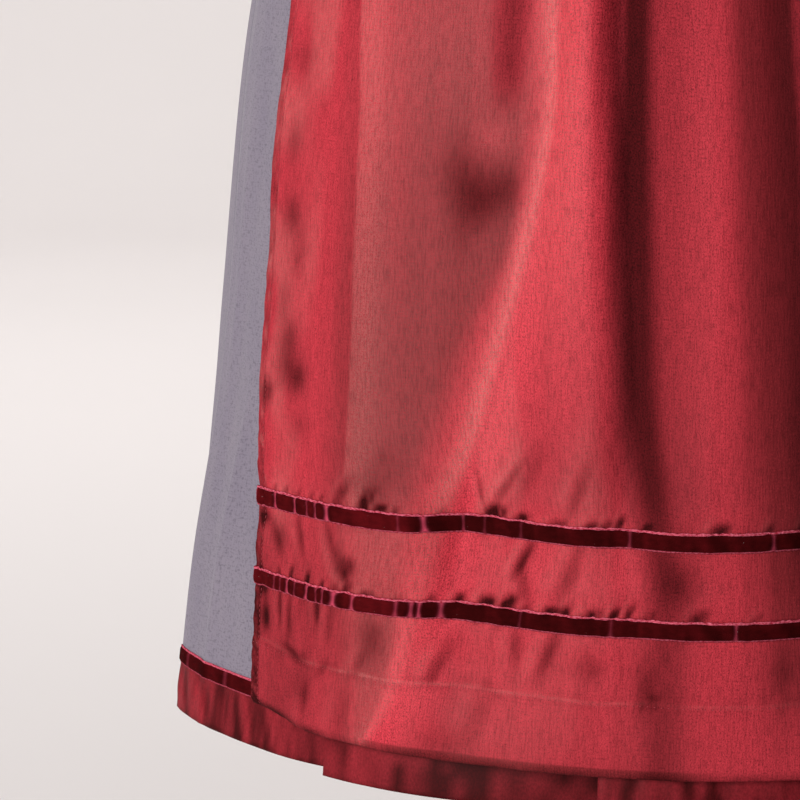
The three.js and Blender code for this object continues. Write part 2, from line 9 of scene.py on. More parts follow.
import bpy
import numpy as np
from bpy.props import FloatProperty, FloatVectorProperty, PointerProperty
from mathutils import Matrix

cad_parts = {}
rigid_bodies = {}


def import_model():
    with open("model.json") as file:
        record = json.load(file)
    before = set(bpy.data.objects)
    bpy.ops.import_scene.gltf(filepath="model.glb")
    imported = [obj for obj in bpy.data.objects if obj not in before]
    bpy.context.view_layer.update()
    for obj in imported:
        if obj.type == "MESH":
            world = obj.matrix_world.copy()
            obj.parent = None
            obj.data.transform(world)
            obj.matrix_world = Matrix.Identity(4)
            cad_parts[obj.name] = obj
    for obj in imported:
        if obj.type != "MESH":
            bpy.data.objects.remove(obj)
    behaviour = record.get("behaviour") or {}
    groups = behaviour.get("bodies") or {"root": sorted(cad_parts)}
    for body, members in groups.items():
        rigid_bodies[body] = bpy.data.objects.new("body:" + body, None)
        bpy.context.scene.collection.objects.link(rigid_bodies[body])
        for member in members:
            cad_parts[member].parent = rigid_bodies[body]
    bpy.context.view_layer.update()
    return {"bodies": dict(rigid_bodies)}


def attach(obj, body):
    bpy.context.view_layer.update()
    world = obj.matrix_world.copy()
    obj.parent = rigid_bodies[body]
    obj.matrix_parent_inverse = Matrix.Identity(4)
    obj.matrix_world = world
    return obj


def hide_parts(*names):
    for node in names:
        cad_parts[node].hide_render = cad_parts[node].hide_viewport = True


bl_info = {
    "name": "Dirndl",
    "version": (1, 0, 0),
    "blender": (4, 5, 0),
    "location": "View3D > Sidebar > Dirndl",
    "description": "Makes the cloth, trimmings and finishes of a dirndl on its packed frame",
    "category": "Object",
}

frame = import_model()
BODY = next(iter(frame["bodies"]))
MM = 0.001

# ------------------------------------------------------------------ forms shared with the frame
SKIRT_LENGTH = 700.0
SKIRT_FORM = {
    "up": (0, 90, 190, 400, 560, 650, 685, 700),
    "radius": (304, 293, 276, 252, 208, 161, 140, 131),
    "aspect": (0.955, 0.955, 0.95, 0.94, 0.9, 0.85, 0.82, 0.8),
    "stand": (14, 13, 12, 10, 9, 8, 7.5, 7.5),
}
PLEAT_EDGES = (12, 42, 72, 102, 132, 162)
SIDE_EDGE = 72
PLEAT_OVERLAP = 13.0
FOLD_TURN = 3.2
FRONT_PRESS = 9.0
PRESS_REACH = 90.0
# How far the hem swings in behind the sides
SIDE_HOLLOW = 8.0
BORDER_HEIGHT = 31.0
HEM_RIBBON_UP = 26.0

APRON_FORM = {
    "up": (22, 94, 138, 200, 300, 400, 560, 660, 700),
    "stand_off": (6.5, 16, 22, 22, 20, 18, 15, 10, 3.8),
    "edge": (54, 52.4, 51.3, 55.2, 57.5, 58, 64, 70, 74),
    "set_back": (8, 6, 3, 8, 12, 11, 8, 4, 0),
}
EDGE_SHARE = 0.72
APRON_HEM_UP = 22.0
HEM_LIFT = 3.5
HEM_LIFT_FROM = 0.78
FOLD_HEIGHTS = (22, 80, 138, 210, 300, 400, 700)
FOLD_POWER = 1.7
# azimuth, depth, reach to the left and reach to the right at those heights
APRON_FOLDS = (
    ((-22, -27, -26.8, -24.5, -20.8, -19.2, -20), (3.5, 13, 21, 19, 17, 15, 0.3),
     (6, 4.5, 3.4, 8, 14, 15, 8), (10, 13, 13, 9, 4.5, 3, 6)),
    ((-6, -8, -9.6, -9.2, -10.4, -11.8, -10), (1, 3, 6, 14, 17, 18, 0.3),
     (4, 3.5, 2.6, 2.4, 2.1, 2, 4), (5, 3.5, 3, 4.5, 5, 5, 4)),
    ((12, 11, 10, 9, 8, 7, 6), (3, 10, 14, 15, 15, 15, 0.3),
     (7, 6.5, 6, 5.5, 5, 4.5, 4), (7, 6, 5, 4.5, 4, 4, 4)),
    ((29, 28, 27, 26, 25, 24, 22), (3, 12, 18, 18, 17, 16, 0.3),
     (8, 8.5, 9, 8.5, 8, 7, 6), (8, 6, 4, 5, 5.5, 6, 6)),
    ((43, 42.5, 42, 42.2, 42.6, 43, 46), (1, 5, 7, 7.5, 8, 8, 0.3),
     (4, 4, 4, 4, 4, 4, 5), (5, 5, 5, 5, 5, 5, 5)),
    ((-42, -43, -44, -45, -46, -47, -48), (0.3, 0.6, 1, 1.5, 2, 2.5, 0.3),
     (5, 5, 5, 5.5, 6, 6, 6), (5, 4.5, 4, 4, 5, 5, 5)),
)
LOWER_RIBBON_UP = 94.0
UPPER_RIBBON_UP = 138.0
GATHERS = 15
GATHER_HEIGHT = 1.3
GATHER_REACH = 110.0

BODICE_FORM = {
    "up": (0, 60, 120, 180, 225, 265, 300),
    "width": (131, 137, 147, 154, 157, 158, 158),
    "front": (105, 109, 117, 125, 124, 114, 104),
    "back": (105, 107, 111, 115, 116, 113, 108),
    "cup": (0, 0, 3, 11, 8, 2, 0),
}
CUP_AZIMUTH = 30.0
CUP_SPREAD = 17.0
BODICE_TOP = {
    "azimuth": (0, 14, 26, 36, 56, 68, 82, 100, 118, 132, 152, 164, 180),
    "up": (205, 208, 228, 262, 262, 226, 205, 205, 232, 286, 286, 276, 272),
}


# ------------------------------------------------------------------ numbers
def curve(table, column, at):
    """Cubic through a table's rows; the slope at a row is the slope between its neighbours."""
    keys = np.asarray(table["azimuth" if "azimuth" in table else "up"], float)
    values = np.asarray(table[column], float)
    slope = np.gradient(values, keys)
    slope[1:-1] = (values[2:] - values[:-2]) / (keys[2:] - keys[:-2])
    x = np.clip(at, keys[0], keys[-1])
    i = np.clip(np.searchsorted(keys, x, side="right") - 1, 0, len(keys) - 2)
    w = keys[i + 1] - keys[i]
    t = (x - keys[i]) / w
    return ((2 * t**3 - 3 * t**2 + 1) * values[i] + (t**3 - 2 * t**2 + t) * w * slope[i]
            + (3 * t**2 - 2 * t**3) * values[i + 1] + (t**3 - t**2) * w * slope[i + 1])


def smooth(x, low, high):
    """0 below low, 1 above high, and a soft S between."""
    t = np.clip((x - low) / (high - low), 0, 1)
    return t * t * (3 - 2 * t)


def bell(x, middle, reach):
    """1 at the middle, falling off as a Gauss curve."""
    return np.exp(-((x - middle) / reach) ** 2)


def noise_1d(x, pitch, seed):
    """Smooth random values between -1 and 1 whose knots are a pitch apart."""
    knots = np.random.default_rng(seed).uniform(-1, 1, 4096)
    position = np.asarray(x, float) / pitch + 2048
    i = np.floor(position).astype(int)
    t = position - i
    t = t * t * (3 - 2 * t)
    return knots[i % 4096] * (1 - t) + knots[(i + 1) % 4096] * t


def noise_2d(x, y, pitch_x, pitch_y, seed):
    """Smooth random field between -1 and 1: a blend of the four knots round each point."""
    knots = np.random.default_rng(seed).uniform(-1, 1, (256, 256))
    px, py = np.asarray(x) / pitch_x + 100, np.asarray(y) / pitch_y + 100
    i, j = np.floor(px).astype(int), np.floor(py).astype(int)
    tx, ty = px - i, py - j
    tx, ty = tx * tx * (3 - 2 * tx), ty * ty * (3 - 2 * ty)
    low = knots[i % 256, j % 256] * (1 - tx) + knots[(i + 1) % 256, j % 256] * tx
    high = knots[i % 256, (j + 1) % 256] * (1 - tx) + knots[(i + 1) % 256, (j + 1) % 256] * tx
    return low * (1 - ty) + high * ty


def spaced(stops):
    """Values through (value, step) stops, each stretch divided by its own step."""
    parts = [np.linspace(a, b, max(2, int(round((b - a) / step)) + 1))[:-1]
             for (a, step), (b, _) in zip(stops[:-1], stops[1:])]
    return np.concatenate(parts + [[stops[-1][0]]])


def normals(points):
    """Unit normals of a grid: the cross product of its column and row directions."""
    across = np.gradient(points, axis=1)
    rise = np.gradient(points, axis=0)
    n = np.cross(across, rise)
    return n / np.maximum(np.linalg.norm(n, axis=2, keepdims=True), 1e-9)


def moved(points, distance):
    """A grid moved outwards along its normals by a distance, one value or one for each point."""
    return points + normals(points) * np.asarray(distance)[..., None]


def arc(points):
    """Length from a grid's first column to each of them, along its middle row."""
    line = points[len(points) // 2]
    return np.concatenate([[0], np.cumsum(np.linalg.norm(np.diff(line, axis=0), axis=1))])


# ------------------------------------------------------------------ meshes
def mesh_object(name, vertices, faces, material):
    """A smooth-shaded object of quads at the origin, its vertices in metres."""
    mesh = bpy.data.meshes.new(name)
    mesh.from_pydata([], [], [])
    mesh.vertices.add(len(vertices))
    mesh.vertices.foreach_set("co", np.asarray(vertices, np.float32).ravel())
    faces = np.asarray(faces, np.int32)
    mesh.loops.add(faces.size)
    mesh.loops.foreach_set("vertex_index", faces.ravel())
    mesh.polygons.add(len(faces))
    mesh.polygons.foreach_set("loop_start", np.arange(len(faces), dtype=np.int32) * faces.shape[1])
    mesh.polygons.foreach_set("use_smooth", np.ones(len(faces), bool))
    mesh.update(calc_edges=True)
    mesh.materials.append(material)
    item = bpy.data.objects.new(name, mesh)
    bpy.context.scene.collection.objects.link(item)
    return item


def grid_faces(rows, columns, round_columns=False):
    """Quads of a grid, facing outwards when columns run to the right and rows upwards."""
    faces_across = columns if round_columns else columns - 1
    row, left = np.meshgrid(np.arange(rows - 1) * columns, np.arange(faces_across), indexing="ij")
    right = (left + 1) % columns
    above = row + columns
    return np.stack([row + left, row + right, above + right, above + left], axis=-1).reshape(-1, 4)


def cloth(name, points, material, thickness=1.0, uv=None, **fields):
    """A thin shell on a grid of outer points in millimetres, its wall added inwards.

    The UV map holds real metres along the columns and rows, and each field is a point attribute.
    """
    rows, columns = points.shape[:2]
    item = mesh_object(name, points.reshape(-1, 3) * MM, grid_faces(rows, columns), material)
    mesh = item.data
    if uv is None:
        uv = np.meshgrid(arc(points), arc(points.swapaxes(0, 1)))
    u, v = uv
    flat = np.stack([u, v], axis=-1).reshape(-1, 2) * MM
    loops = np.empty(len(mesh.loops), np.int32)
    mesh.loops.foreach_get("vertex_index", loops)
    mesh.uv_layers.new(name="cloth").data.foreach_set("uv", flat[loops].astype(np.float32).ravel())
    for field, values in fields.items():
        layer = mesh.attributes.new(field, "FLOAT", "POINT")
        spread = np.broadcast_to(values, (rows, columns))
        layer.data.foreach_set("value", spread.astype(np.float32).ravel())
    if thickness:
        wall = item.modifiers.new("wall", "SOLIDIFY")
        wall.thickness = thickness * MM
        wall.offset = -1
        wall.use_even_offset = False
    return item


def stitches(name, starts, ends, outward, material, radius, proud):
    """Sewn stitches: one small spindle from each start to its end, a little proud of the cloth.

    A spindle is rings of four points along the stitch, whose radius follows a half sine.
    """
    starts, ends, outward = (np.asarray(a, float) for a in (starts, ends, outward))
    along = ends - starts
    side = np.cross(along, outward)
    side /= np.maximum(np.linalg.norm(side, axis=1, keepdims=True), 1e-9)
    t = np.linspace(0, 1, 4)
    turn = np.linspace(0, 2 * math.pi, 5)[:-1]
    swell = radius * (0.25 + 0.75 * np.sin(math.pi * t))
    rings = (starts[:, None, None] + along[:, None, None] * t[None, :, None, None]
             + side[:, None, None] * (np.cos(turn)[None, None, :, None] * swell[None, :, None, None])
             + outward[:, None, None] * (np.sin(turn)[None, None, :, None] * swell[None, :, None, None]
                                         + proud * np.sin(math.pi * t)[None, :, None, None]))
    first = np.arange(len(starts)) * len(t) * len(turn)
    faces = grid_faces(len(t), len(turn), round_columns=True)[None] + first[:, None, None]
    return mesh_object(name, rings.reshape(-1, 3) * MM, faces.reshape(-1, 4), material)


def stitch_line(points, outward, pitch, share=0.6):
    """Starts, ends and outward directions of stitches along a polyline, evenly by its length."""
    length = arc(points[None])
    first = (np.arange(int(length[-1] / pitch)) + 0.16) * pitch

    def at(distance, values):
        return np.stack([np.interp(distance, length, values[:, k]) for k in range(3)], axis=1)

    up = at(first, outward)
    up = up / np.linalg.norm(up, axis=1, keepdims=True)
    return at(first, points), at(first + share * pitch, points), up


def seam_stitches(points, across, rise, distance, pitch, sides):
    """Stitch lines at a distance inside the left, right, bottom or top edge of a panel.

    Across and rise say how far each column and row lies from the panel's left and lower edge.
    """
    outward = normals(points)
    lines = []
    for side in sides:
        if side in "lr":
            inward = across if side == "l" else across[-1] - across
            column = np.argmin(np.abs(inward - distance))
            lines.append(stitch_line(points[:, column], outward[:, column], pitch))
        else:
            inward = rise if side == "b" else rise[-1] - rise
            row = np.argmin(np.abs(inward - distance))
            lines.append(stitch_line(points[row], outward[row], pitch))
    return lines


def sew(name, lines, thread, slot, radius=0.2, proud=0.1):
    """One piece of all the stitches in a list of stitch lines."""
    starts, ends, outward = (np.concatenate(x) for x in zip(*lines))
    dress(stitches(name, starts, ends, outward, thread, radius, proud), slot)


def dress(item, slot, *nodes):
    """Fastens a piece to the dress and hides the solids it stands for; its slot is not used."""
    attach(item, BODY)
    if nodes:
        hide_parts(*nodes)
    return item


# ------------------------------------------------------------------ finishes
def linear(code):
    """Linear RGB of an sRGB hex colour."""
    channels = [int(code[i:i + 2], 16) / 255 for i in (1, 3, 5)]
    return [c / 12.92 if c <= 0.04045 else ((c + 0.055) / 1.055) ** 2.4 for c in channels]


def add(tree, kind, output, settings, stops=()):
    """Adds a node and gives one of its outputs.

    A setting is a property or an input of the node; an input takes a value or a socket to link.
    Stops are the (position, RGBA) pairs of a colour ramp.
    """
    node = tree.nodes.new(kind)
    for key, value in settings.items():
        if key in node.bl_rna.properties:
            setattr(node, key, value)
            continue
        socket = node.inputs[int(key) if key.isdigit() else key]
        if isinstance(value, bpy.types.NodeSocket):
            tree.links.new(value, socket)
        else:
            socket.default_value = value
    for element, (position, colour) in zip(node.color_ramp.elements if stops else (), stops):
        element.position = position
        element.color = colour
    return node.outputs[output] if node.outputs else node


# Settings of a mix of two colours: its factor is input 0 and its colours are inputs 6 and 7
MIX = {"data_type": "RGBA", "blend_type": "MIX"}


def threads(tree, across, along, detail=2.0, roughness=0.6):
    """Noise drawn out along the cloth: across and along are the thread's size in metres."""
    uv = add(tree, "ShaderNodeUVMap", "UV", {"uv_map": "cloth"})
    scaled = add(tree, "ShaderNodeMapping", "Vector", {"Vector": uv, "Scale": (1 / across, 1 / along, 1)})
    return add(tree, "ShaderNodeTexNoise", "Fac", {
        "Vector": scaled, "Scale": 1.0, "Detail": detail, "Roughness": roughness})


def clouds(tree, scale, detail=2.0):
    """Round clouds of noise on the object's own place, so many to a metre."""
    place = add(tree, "ShaderNodeTexCoord", "Object", {})
    return add(tree, "ShaderNodeTexNoise", "Fac", {"Vector": place, "Scale": scale, "Detail": detail})


def toned(tree, body, pattern, low, dark, high, light):
    """A colour times a tone that goes from dark to light where a pattern goes from low to high."""
    stops = [(at, [*tone, 1.0] if np.ndim(tone) else [tone, tone, tone, 1.0])
             for at, tone in ((low, dark), (high, light))]
    tone = add(tree, "ShaderNodeValToRGB", "Color", {"Fac": pattern}, stops)
    return add(tree, "ShaderNodeMix", 2, MIX | {"blend_type": "MULTIPLY", "0": 1.0, "6": body, "7": tone})


def shot_taffeta(tree, colours):
    """Shot taffeta: plain weave of a red warp and a browner weft in fine, slightly slubbed yarn.

    Attributes say where its weft shows, which also lays painted shade where the folds turn from
    the light, where painted shade darkens it towards a deep fold red, and where a pale painted
    sheen and painted highlights are laid on. The yarn is drawn 0.65 mm thick, coarser than real
    taffeta's, so that its grain shows.
    """
    grit = threads(tree, 0.00065, 0.0011, roughness=0.8)
    slub = threads(tree, 0.0009, 0.009, 3.0)
    rib = threads(tree, 0.006, 0.0011)
    flank, shadow, light = (add(tree, "ShaderNodeAttribute", "Fac", {"attribute_name": name})
                            for name in ("flank", "hollow", "bloom"))
    grain = add(tree, "ShaderNodeMapRange", "Result", {
        "Value": grit, "From Min": 0.36, "From Max": 0.64, "To Min": -0.4, "To Max": 0.4})
    # the weft's mix: real shot colour, and painted shade where the folds turn from the light
    weft = add(tree, "ShaderNodeMath", "Value",
               {"operation": "ADD", "use_clamp": True, "0": flank, "1": grain})
    body = add(tree, "ShaderNodeMix", 2, MIX | {"0": weft, "6": colours["warp"], "7": colours["weft"]})
    # painted sheen: pale specks of its colour where the painted sheen lies
    speck = add(tree, "ShaderNodeMapRange", "Result", {
        "Value": grit, "From Min": 0.4, "From Max": 0.6, "To Min": 2.3, "To Max": 0.0})
    pale = add(tree, "ShaderNodeMath", "Value", {
        "operation": "MULTIPLY", "use_clamp": True, "0": light, "1": speck})
    body = add(tree, "ShaderNodeMix", 2, MIX | {"0": pale, "6": body, "7": colours["bloom"]})
    # painted shade: the colour goes towards a deep red where the folds lie in shade
    body = add(tree, "ShaderNodeMix", 2, MIX | {"0": shadow, "6": body, "7": colours["deep"]})
    body = toned(tree, body, slub, 0.34, 0.74, 0.56, 1.05)
    body = toned(tree, body, rib, 0.38, 0.91, 0.62, 1)
    body = toned(tree, body, grit, 0.37, 0.42, 0.63, 1.42)
    yarn = add(tree, "ShaderNodeMath", "Value", {"operation": "ADD", "0": grit, "1": slub})
    return {
        "Base Color": body,
        "Normal": add(tree, "ShaderNodeBump", "Normal",
                      {"Strength": 0.9, "Distance": 0.00022, "Height": yarn}),
        "Roughness": add(tree, "ShaderNodeMapRange", "Result", {
            "Value": shadow, "From Min": 0.0, "From Max": 0.8, "To Min": 0.48, "To Max": 0.95}),
        "Specular IOR Level": 0.09, "Anisotropic": 0.4,
        "Sheen Weight": 0.013, "Sheen Roughness": 0.35, "Sheen Tint": colours["bloom"]}


def fine_cotton(tree, colours):
    """Cotton sateen dyed grey-lilac: matt, close plain weave with a faint upright grain."""
    fine = threads(tree, 0.0010, 0.0032, 3.0, 0.7)
    cross = threads(tree, 0.0032, 0.0010, 3.0, 0.7)
    cloud = threads(tree, 0.016, 0.050, 3.0)
    grain = add(tree, "ShaderNodeMath", "Value", {"operation": "ADD", "0": fine, "1": cross})
    body = toned(tree, colours["cotton"], grain, 0.8, (0.74, 0.74, 0.76), 1.2, (1.19, 1.19, 1.17))
    body = toned(tree, body, cloud, 0.3, (0.93, 0.93, 0.95), 0.7, (1.03, 1.03, 1.01))
    return {
        "Base Color": body,
        "Normal": add(tree, "ShaderNodeBump", "Normal",
                      {"Strength": 0.9, "Distance": 0.00022, "Height": grain}),
        "Roughness": 0.85, "Specular IOR Level": 0.25,
        "Sheen Weight": 0.25, "Sheen Roughness": 0.5, "Sheen Tint": [0.8, 0.78, 0.85, 1.0]}


def border_satin(tree, colours):
    """Satin weave: long floats of bright yarn, smooth and lustrous, deep red."""
    fine = threads(tree, 0.0009, 0.020)
    cloud = threads(tree, 0.018, 0.05)
    shadow = add(tree, "ShaderNodeAttribute", "Fac", {"attribute_name": "hollow"})
    grit = threads(tree, 0.0011, 0.0019, 3.0, 0.75)
    # painted shade: the colour goes towards a deep red where the border lies in shade
    body = add(tree, "ShaderNodeMix", 2, MIX | {"0": shadow, "6": colours["satin"],
                                                "7": colours["satin_deep"]})
    body = toned(tree, body, cloud, 0.3, 0.72, 0.7, 1)
    body = toned(tree, body, grit, 0.38, 0.66, 0.62, 1)
    return {
        "Base Color": body,
        "Normal": add(tree, "ShaderNodeBump", "Normal",
                      {"Strength": 0.7, "Distance": 0.00008, "Height": fine}),
        "Roughness": 0.5, "Specular IOR Level": 0.06, "Anisotropic": 0.4,
        "Sheen Weight": 0.01, "Sheen Roughness": 0.3, "Sheen Tint": [0.9, 0.35, 0.35, 1.0]}


def velvet_ribbon(tree, colours):
    """Narrow velvet: cut pile that swallows light seen straight on, with a painted sheen where it lies
    over in its creases, between two woven edges in a lighter yarn."""
    tone, crease, edge = (add(tree, "ShaderNodeAttribute", "Fac", {"attribute_name": name})
                          for name in ("tone", "crease", "edge"))
    tuft = threads(tree, 0.0006, 0.0006, 3.0)
    body = add(tree, "ShaderNodeMix", 2, MIX | {"0": tone, "6": colours["pile_dark"], "7": colours["pile"]})
    body = toned(tree, body, threads(tree, 0.006, 0.003), 0.3, 0.78, 0.7, 1.2)
    body = add(tree, "ShaderNodeMix", 2, MIX | {"0": crease, "6": body, "7": colours["glow"]})
    lint = add(tree, "ShaderNodeValToRGB", "Color", {"Fac": threads(tree, 0.0016, 0.0016)},
               ((0.73, [0, 0, 0, 1]), (0.77, [0.3, 0.2, 0.2, 1])))
    body = add(tree, "ShaderNodeMix", 2, MIX | {"blend_type": "ADD", "0": 1.0, "6": body, "7": lint})
    picks = add(tree, "ShaderNodeValToRGB", "Color", {"Fac": threads(tree, 0.0016, 0.0005, 1.0)},
                ((0.35, colours["edge"]), (0.65, colours["edge_light"])))
    return {
        "Base Color": add(tree, "ShaderNodeMix", 2, MIX | {"0": edge, "6": body, "7": picks}),
        "Normal": add(tree, "ShaderNodeBump", "Normal",
                      {"Strength": 0.8, "Distance": 0.00025, "Height": tuft}),
        "Roughness": 0.9, "Specular IOR Level": 0.02,
        "Sheen Weight": 0.01, "Sheen Roughness": 0.3, "Sheen Tint": colours["glow"]}


def sewing_thread(tree, colour):
    """Spun polyester sewing thread: matt, with a little gloss on each twist."""
    return {"Base Color": toned(tree, colour, clouds(tree, 900.0), 0.35, 0.8, 0.65, 1), "Roughness": 0.55}


def button_resin(tree, colour):
    """Polyester resin button: cast, turned and tumbled to a soft gloss, with faint clouds."""
    body = toned(tree, colour, clouds(tree, 160.0, 3.0), 0.3, (0.7, 0.7, 0.72), 0.75, 1)
    return {"Base Color": body, "Roughness": 0.32, "Coat Weight": 0.3, "Coat Roughness": 0.2}


def backdrop_paint(tree, colour):
    """Matt paint of a studio sweep, very faintly clouded."""
    body = toned(tree, colour, clouds(tree, 1.2), 0.3, 0.985, 0.7, 1)
    return {"Base Color": body, "Roughness": 0.95, "Specular IOR Level": 0.1}


# Each finish: how its shader is set, and the one colour it takes where it doesn't take several
FINISHES = {
    "shot_taffeta": (shot_taffeta, None),
    "grey_cotton": (fine_cotton, None),
    "red_satin": (border_satin, None),
    "velvet_ribbon": (velvet_ribbon, None),
    "red_thread": (sewing_thread, "thread"),
    "grey_thread": (sewing_thread, "grey_thread"),
    "button_resin": (button_resin, "button"),
    "backdrop_paint": (backdrop_paint, "backdrop"),
}
made = {}


def finish(context, name):
    """A finish of the table above, made once and then shared."""
    if name not in made:
        group = context.scene.dirndl_colours
        colours = {key: [*getattr(group, key), 1.0] for key in DirndlColours.__annotations__}
        material = bpy.data.materials.new(name)
        material.use_nodes = True
        tree = material.node_tree
        tree.nodes.clear()
        build, colour = FINISHES[name]
        shader = add(tree, "ShaderNodeBsdfPrincipled", "BSDF",
                     build(tree, colours[colour] if colour else colours))
        add(tree, "ShaderNodeOutputMaterial", None, {"Surface": shader})
        made[name] = material
    return made[name]


# ------------------------------------------------------------------ settings shown in the panel
def colour_property(name, code, text):
    """A colour of the panel, given as an sRGB hex code."""
    return FloatVectorProperty(name=name, description=text, default=linear(code), size=3, subtype="COLOR",
                               min=0.0, max=1.0)


def length_property(name, millimetres, text):
    """A length of the panel, given in millimetres and kept in metres."""
    return FloatProperty(name=name, description=text, default=millimetres * MM, subtype="DISTANCE",
                         unit="LENGTH", precision=4)


class DirndlSizes(bpy.types.PropertyGroup):
    """Sizes of the trimmings and of the sewing."""
    ribbon_width: length_property("Ribbon width", 10.0, "Width of the velvet ribbons with their edges")
    apron_hem: length_property("Apron hem", 39.0, "Depth of the apron's turned hem")
    side_hem: length_property("Apron side hem", 5.5, "Width of the apron's side hems")
    stitch_pitch: length_property("Stitch pitch", 3.0, "Distance from one stitch to the next")
    pucker_depth: length_property("Pucker depth", 1.1, "Depth of the deepest puckers above the ribbons")


class DirndlColours(bpy.types.PropertyGroup):
    """Colours of the cloths and trimmings."""
    warp: colour_property("Taffeta warp", "#CD3947", "Red of the taffeta's warp")
    # the weft's colour: mixed in on the apron's flanks it also lays painted shade
    weft: colour_property("Taffeta weft", "#80242A", "Greyish red where the taffeta's weft shows")
    # painted shade: the dark red laid in the apron's folds
    deep: colour_property("Taffeta folds", "#3A0609", "Red in the depth of the apron's folds")
    # pale colour of the painted sheen and painted highlights, also the real sheen's tint
    bloom: colour_property("Taffeta bloom", "#F09690", "Bloom on the taffeta where it turns away")
    satin: colour_property("Satin", "#AE2F3A", "Red of the hem border")
    # painted shade in the border's soft folds and under the apron's hem
    satin_deep: colour_property("Satin folds", "#48090D", "Red in the hem border's soft folds")
    cotton: colour_property("Cotton", "#746D7A", "Grey-lilac of the dress")
    # the velvet's tone runs between the next two colours, partly at random and partly as painted shade
    pile: colour_property("Velvet pile", "#500A0F", "Velvet whose pile leans to the light")
    pile_dark: colour_property("Velvet shade", "#2E0405", "Velvet seen into its pile")
    # painted sheen in the velvet's creases, also the real sheen's tint
    glow: colour_property("Velvet glow", "#CC4A64", "Velvet where its pile lies over")
    edge: colour_property("Ribbon edge", "#962436", "Woven edge of the ribbons")
    edge_light: colour_property("Ribbon edge light", "#D26478", "Bright picks in the ribbons' edges")
    thread: colour_property("Thread", "#A3303C", "Thread of the apron's seams")
    grey_thread: colour_property("Grey thread", "#8B8490", "Thread of the dress's seams")
    button: colour_property("Buttons", "#6B6671", "Resin of the buttons")
    backdrop: colour_property("Backdrop", "#E8E3E2", "Paint of the floor and backdrop")


# ------------------------------------------------------------------ skirt
# Columns of grid on a pleat's face, and on the face with a narrow crease beside the apron's left edge
FACE_STEPS = 24
CREASED_FACE_STEPS = 60


def pleat_columns(side, start, end):
    """Columns of half a skirt piece between two azimuths away from the centre front.

    Each column has an azimuth, a shift along the round, and its depth as deep * stand + extra.
    A face comes out from deep to flush, turns under at its edge and runs back behind itself.
    """
    away, shift, deep, extra = [], [], [], []

    def put(a, s, d, e):
        away.append(a)
        shift.append(s)
        deep.append(d)
        extra.append(e)

    edges = [edge for edge in PLEAT_EDGES if start < edge < end]
    stops = [start, *edges, end]
    for i, (low, high) in enumerate(zip(stops[:-1], stops[1:])):
        creased = side < 0 and low == PLEAT_EDGES[1]
        a = np.linspace(low, high, CREASED_FACE_STEPS if creased else FACE_STEPS)
        before = max((e for e in (0, *PLEAT_EDGES) if e <= low + 1e-6), default=0)
        after = min((e for e in (*PLEAT_EDGES, 198) if e >= high - 1e-6), default=198)
        phase = (a - before) / (after - before)
        if after <= PLEAT_EDGES[0]:
            depth = np.zeros_like(phase)
        elif after > 180:
            depth = 1 - 0.5 * smooth(phase, 0, 0.5)
        elif before == SIDE_EDGE:
            depth = 1 - smooth(phase, 0.35, 1.05) + 0.2 * bell(phase, 0.35, 0.3)
        else:
            depth = 1 - smooth(phase, -0.25, 1)
        slide = np.zeros_like(phase)
        if before > 0 and low == before:
            slide = (0.4 - PLEAT_OVERLAP) * (1 - smooth(phase, 0, 0.4))
            depth = depth + (1 - depth) * (1 - smooth(phase, 0, 0.25))
        put(a, slide, depth, np.zeros_like(phase))
        if i < len(edges):
            put(np.full(3, high), np.linspace(0.2, 0.4, 3), np.zeros(3), np.linspace(0.6, FOLD_TURN, 3))
            back = np.linspace(0.1, 0.95, 9)
            put(np.full(9, high), 0.4 - PLEAT_OVERLAP * back, back, FOLD_TURN * (1 - 2 * back))
            put(np.full(2, high), np.array([-PLEAT_OVERLAP - 0.2, -PLEAT_OVERLAP + 0.2]),
                np.array([1.0, 1.0]), np.array([-1.9, -0.7]))
    columns = np.array([np.concatenate(x) for x in (away, shift, deep, extra)])
    columns[:2] *= side
    return columns if side > 0 else columns[:, ::-1]


def skirt_columns(half):
    """Columns of the front, from the left seam to the right one, or of the back, on round."""
    if half == "front":
        return np.concatenate([pleat_columns(-1, 0, 90)[:, :-1], pleat_columns(1, 0, 90)], axis=1)
    left = pleat_columns(-1, 90, 180)
    left[0] += 360
    return np.concatenate([pleat_columns(1, 90, 180), left[:, 1:]], axis=1)


# Soft creases of the skirt: azimuth, its drift in degrees for each mm of height, height, half width and
# half height in mm, how proud
SKIRT_CREASES = (
    (-63.6, 0.012, 110, 4.0, 80, 2.0), (-66.6, 0.004, 190, 6.0, 110, -1.0),
    (-60.6, -0.006, 150, 5.0, 90, -0.8), (-68.6, 0.006, 260, 4.0, 90, 0.8),
    (-64.6, 0.004, 330, 5.0, 80, -0.7), (-58.0, 0.004, 250, 4.0, 120, 0.7),
    (-82.0, 0.01, 240, 6.0, 120, 1.2), (-96.0, -0.01, 300, 7.0, 140, -1.2),
    (66.0, -0.01, 210, 5.0, 100, 1.0), (58.4, 0.006, 130, 5.0, 80, -0.9),
    (84.0, 0.008, 280, 6.0, 130, 1.1), (97.0, 0.01, 180, 7.0, 100, -1.2),
    (112.0, 0.006, 300, 6.0, 150, 1.1), (124.0, -0.008, 190, 7.0, 110, -1.2),
    (146.0, 0.01, 260, 6.0, 140, 1.1), (172.0, -0.006, 320, 7.0, 130, -1.2),
    (184.0, 0.008, 180, 6.0, 110, 1.0), (206.0, 0.01, 300, 6.0, 140, 1.1),
    (218.0, -0.008, 160, 7.0, 90, -1.2), (236.0, 0.006, 280, 6.0, 130, 1.1),
    (250.0, -0.01, 200, 6.0, 100, -1.0),
)


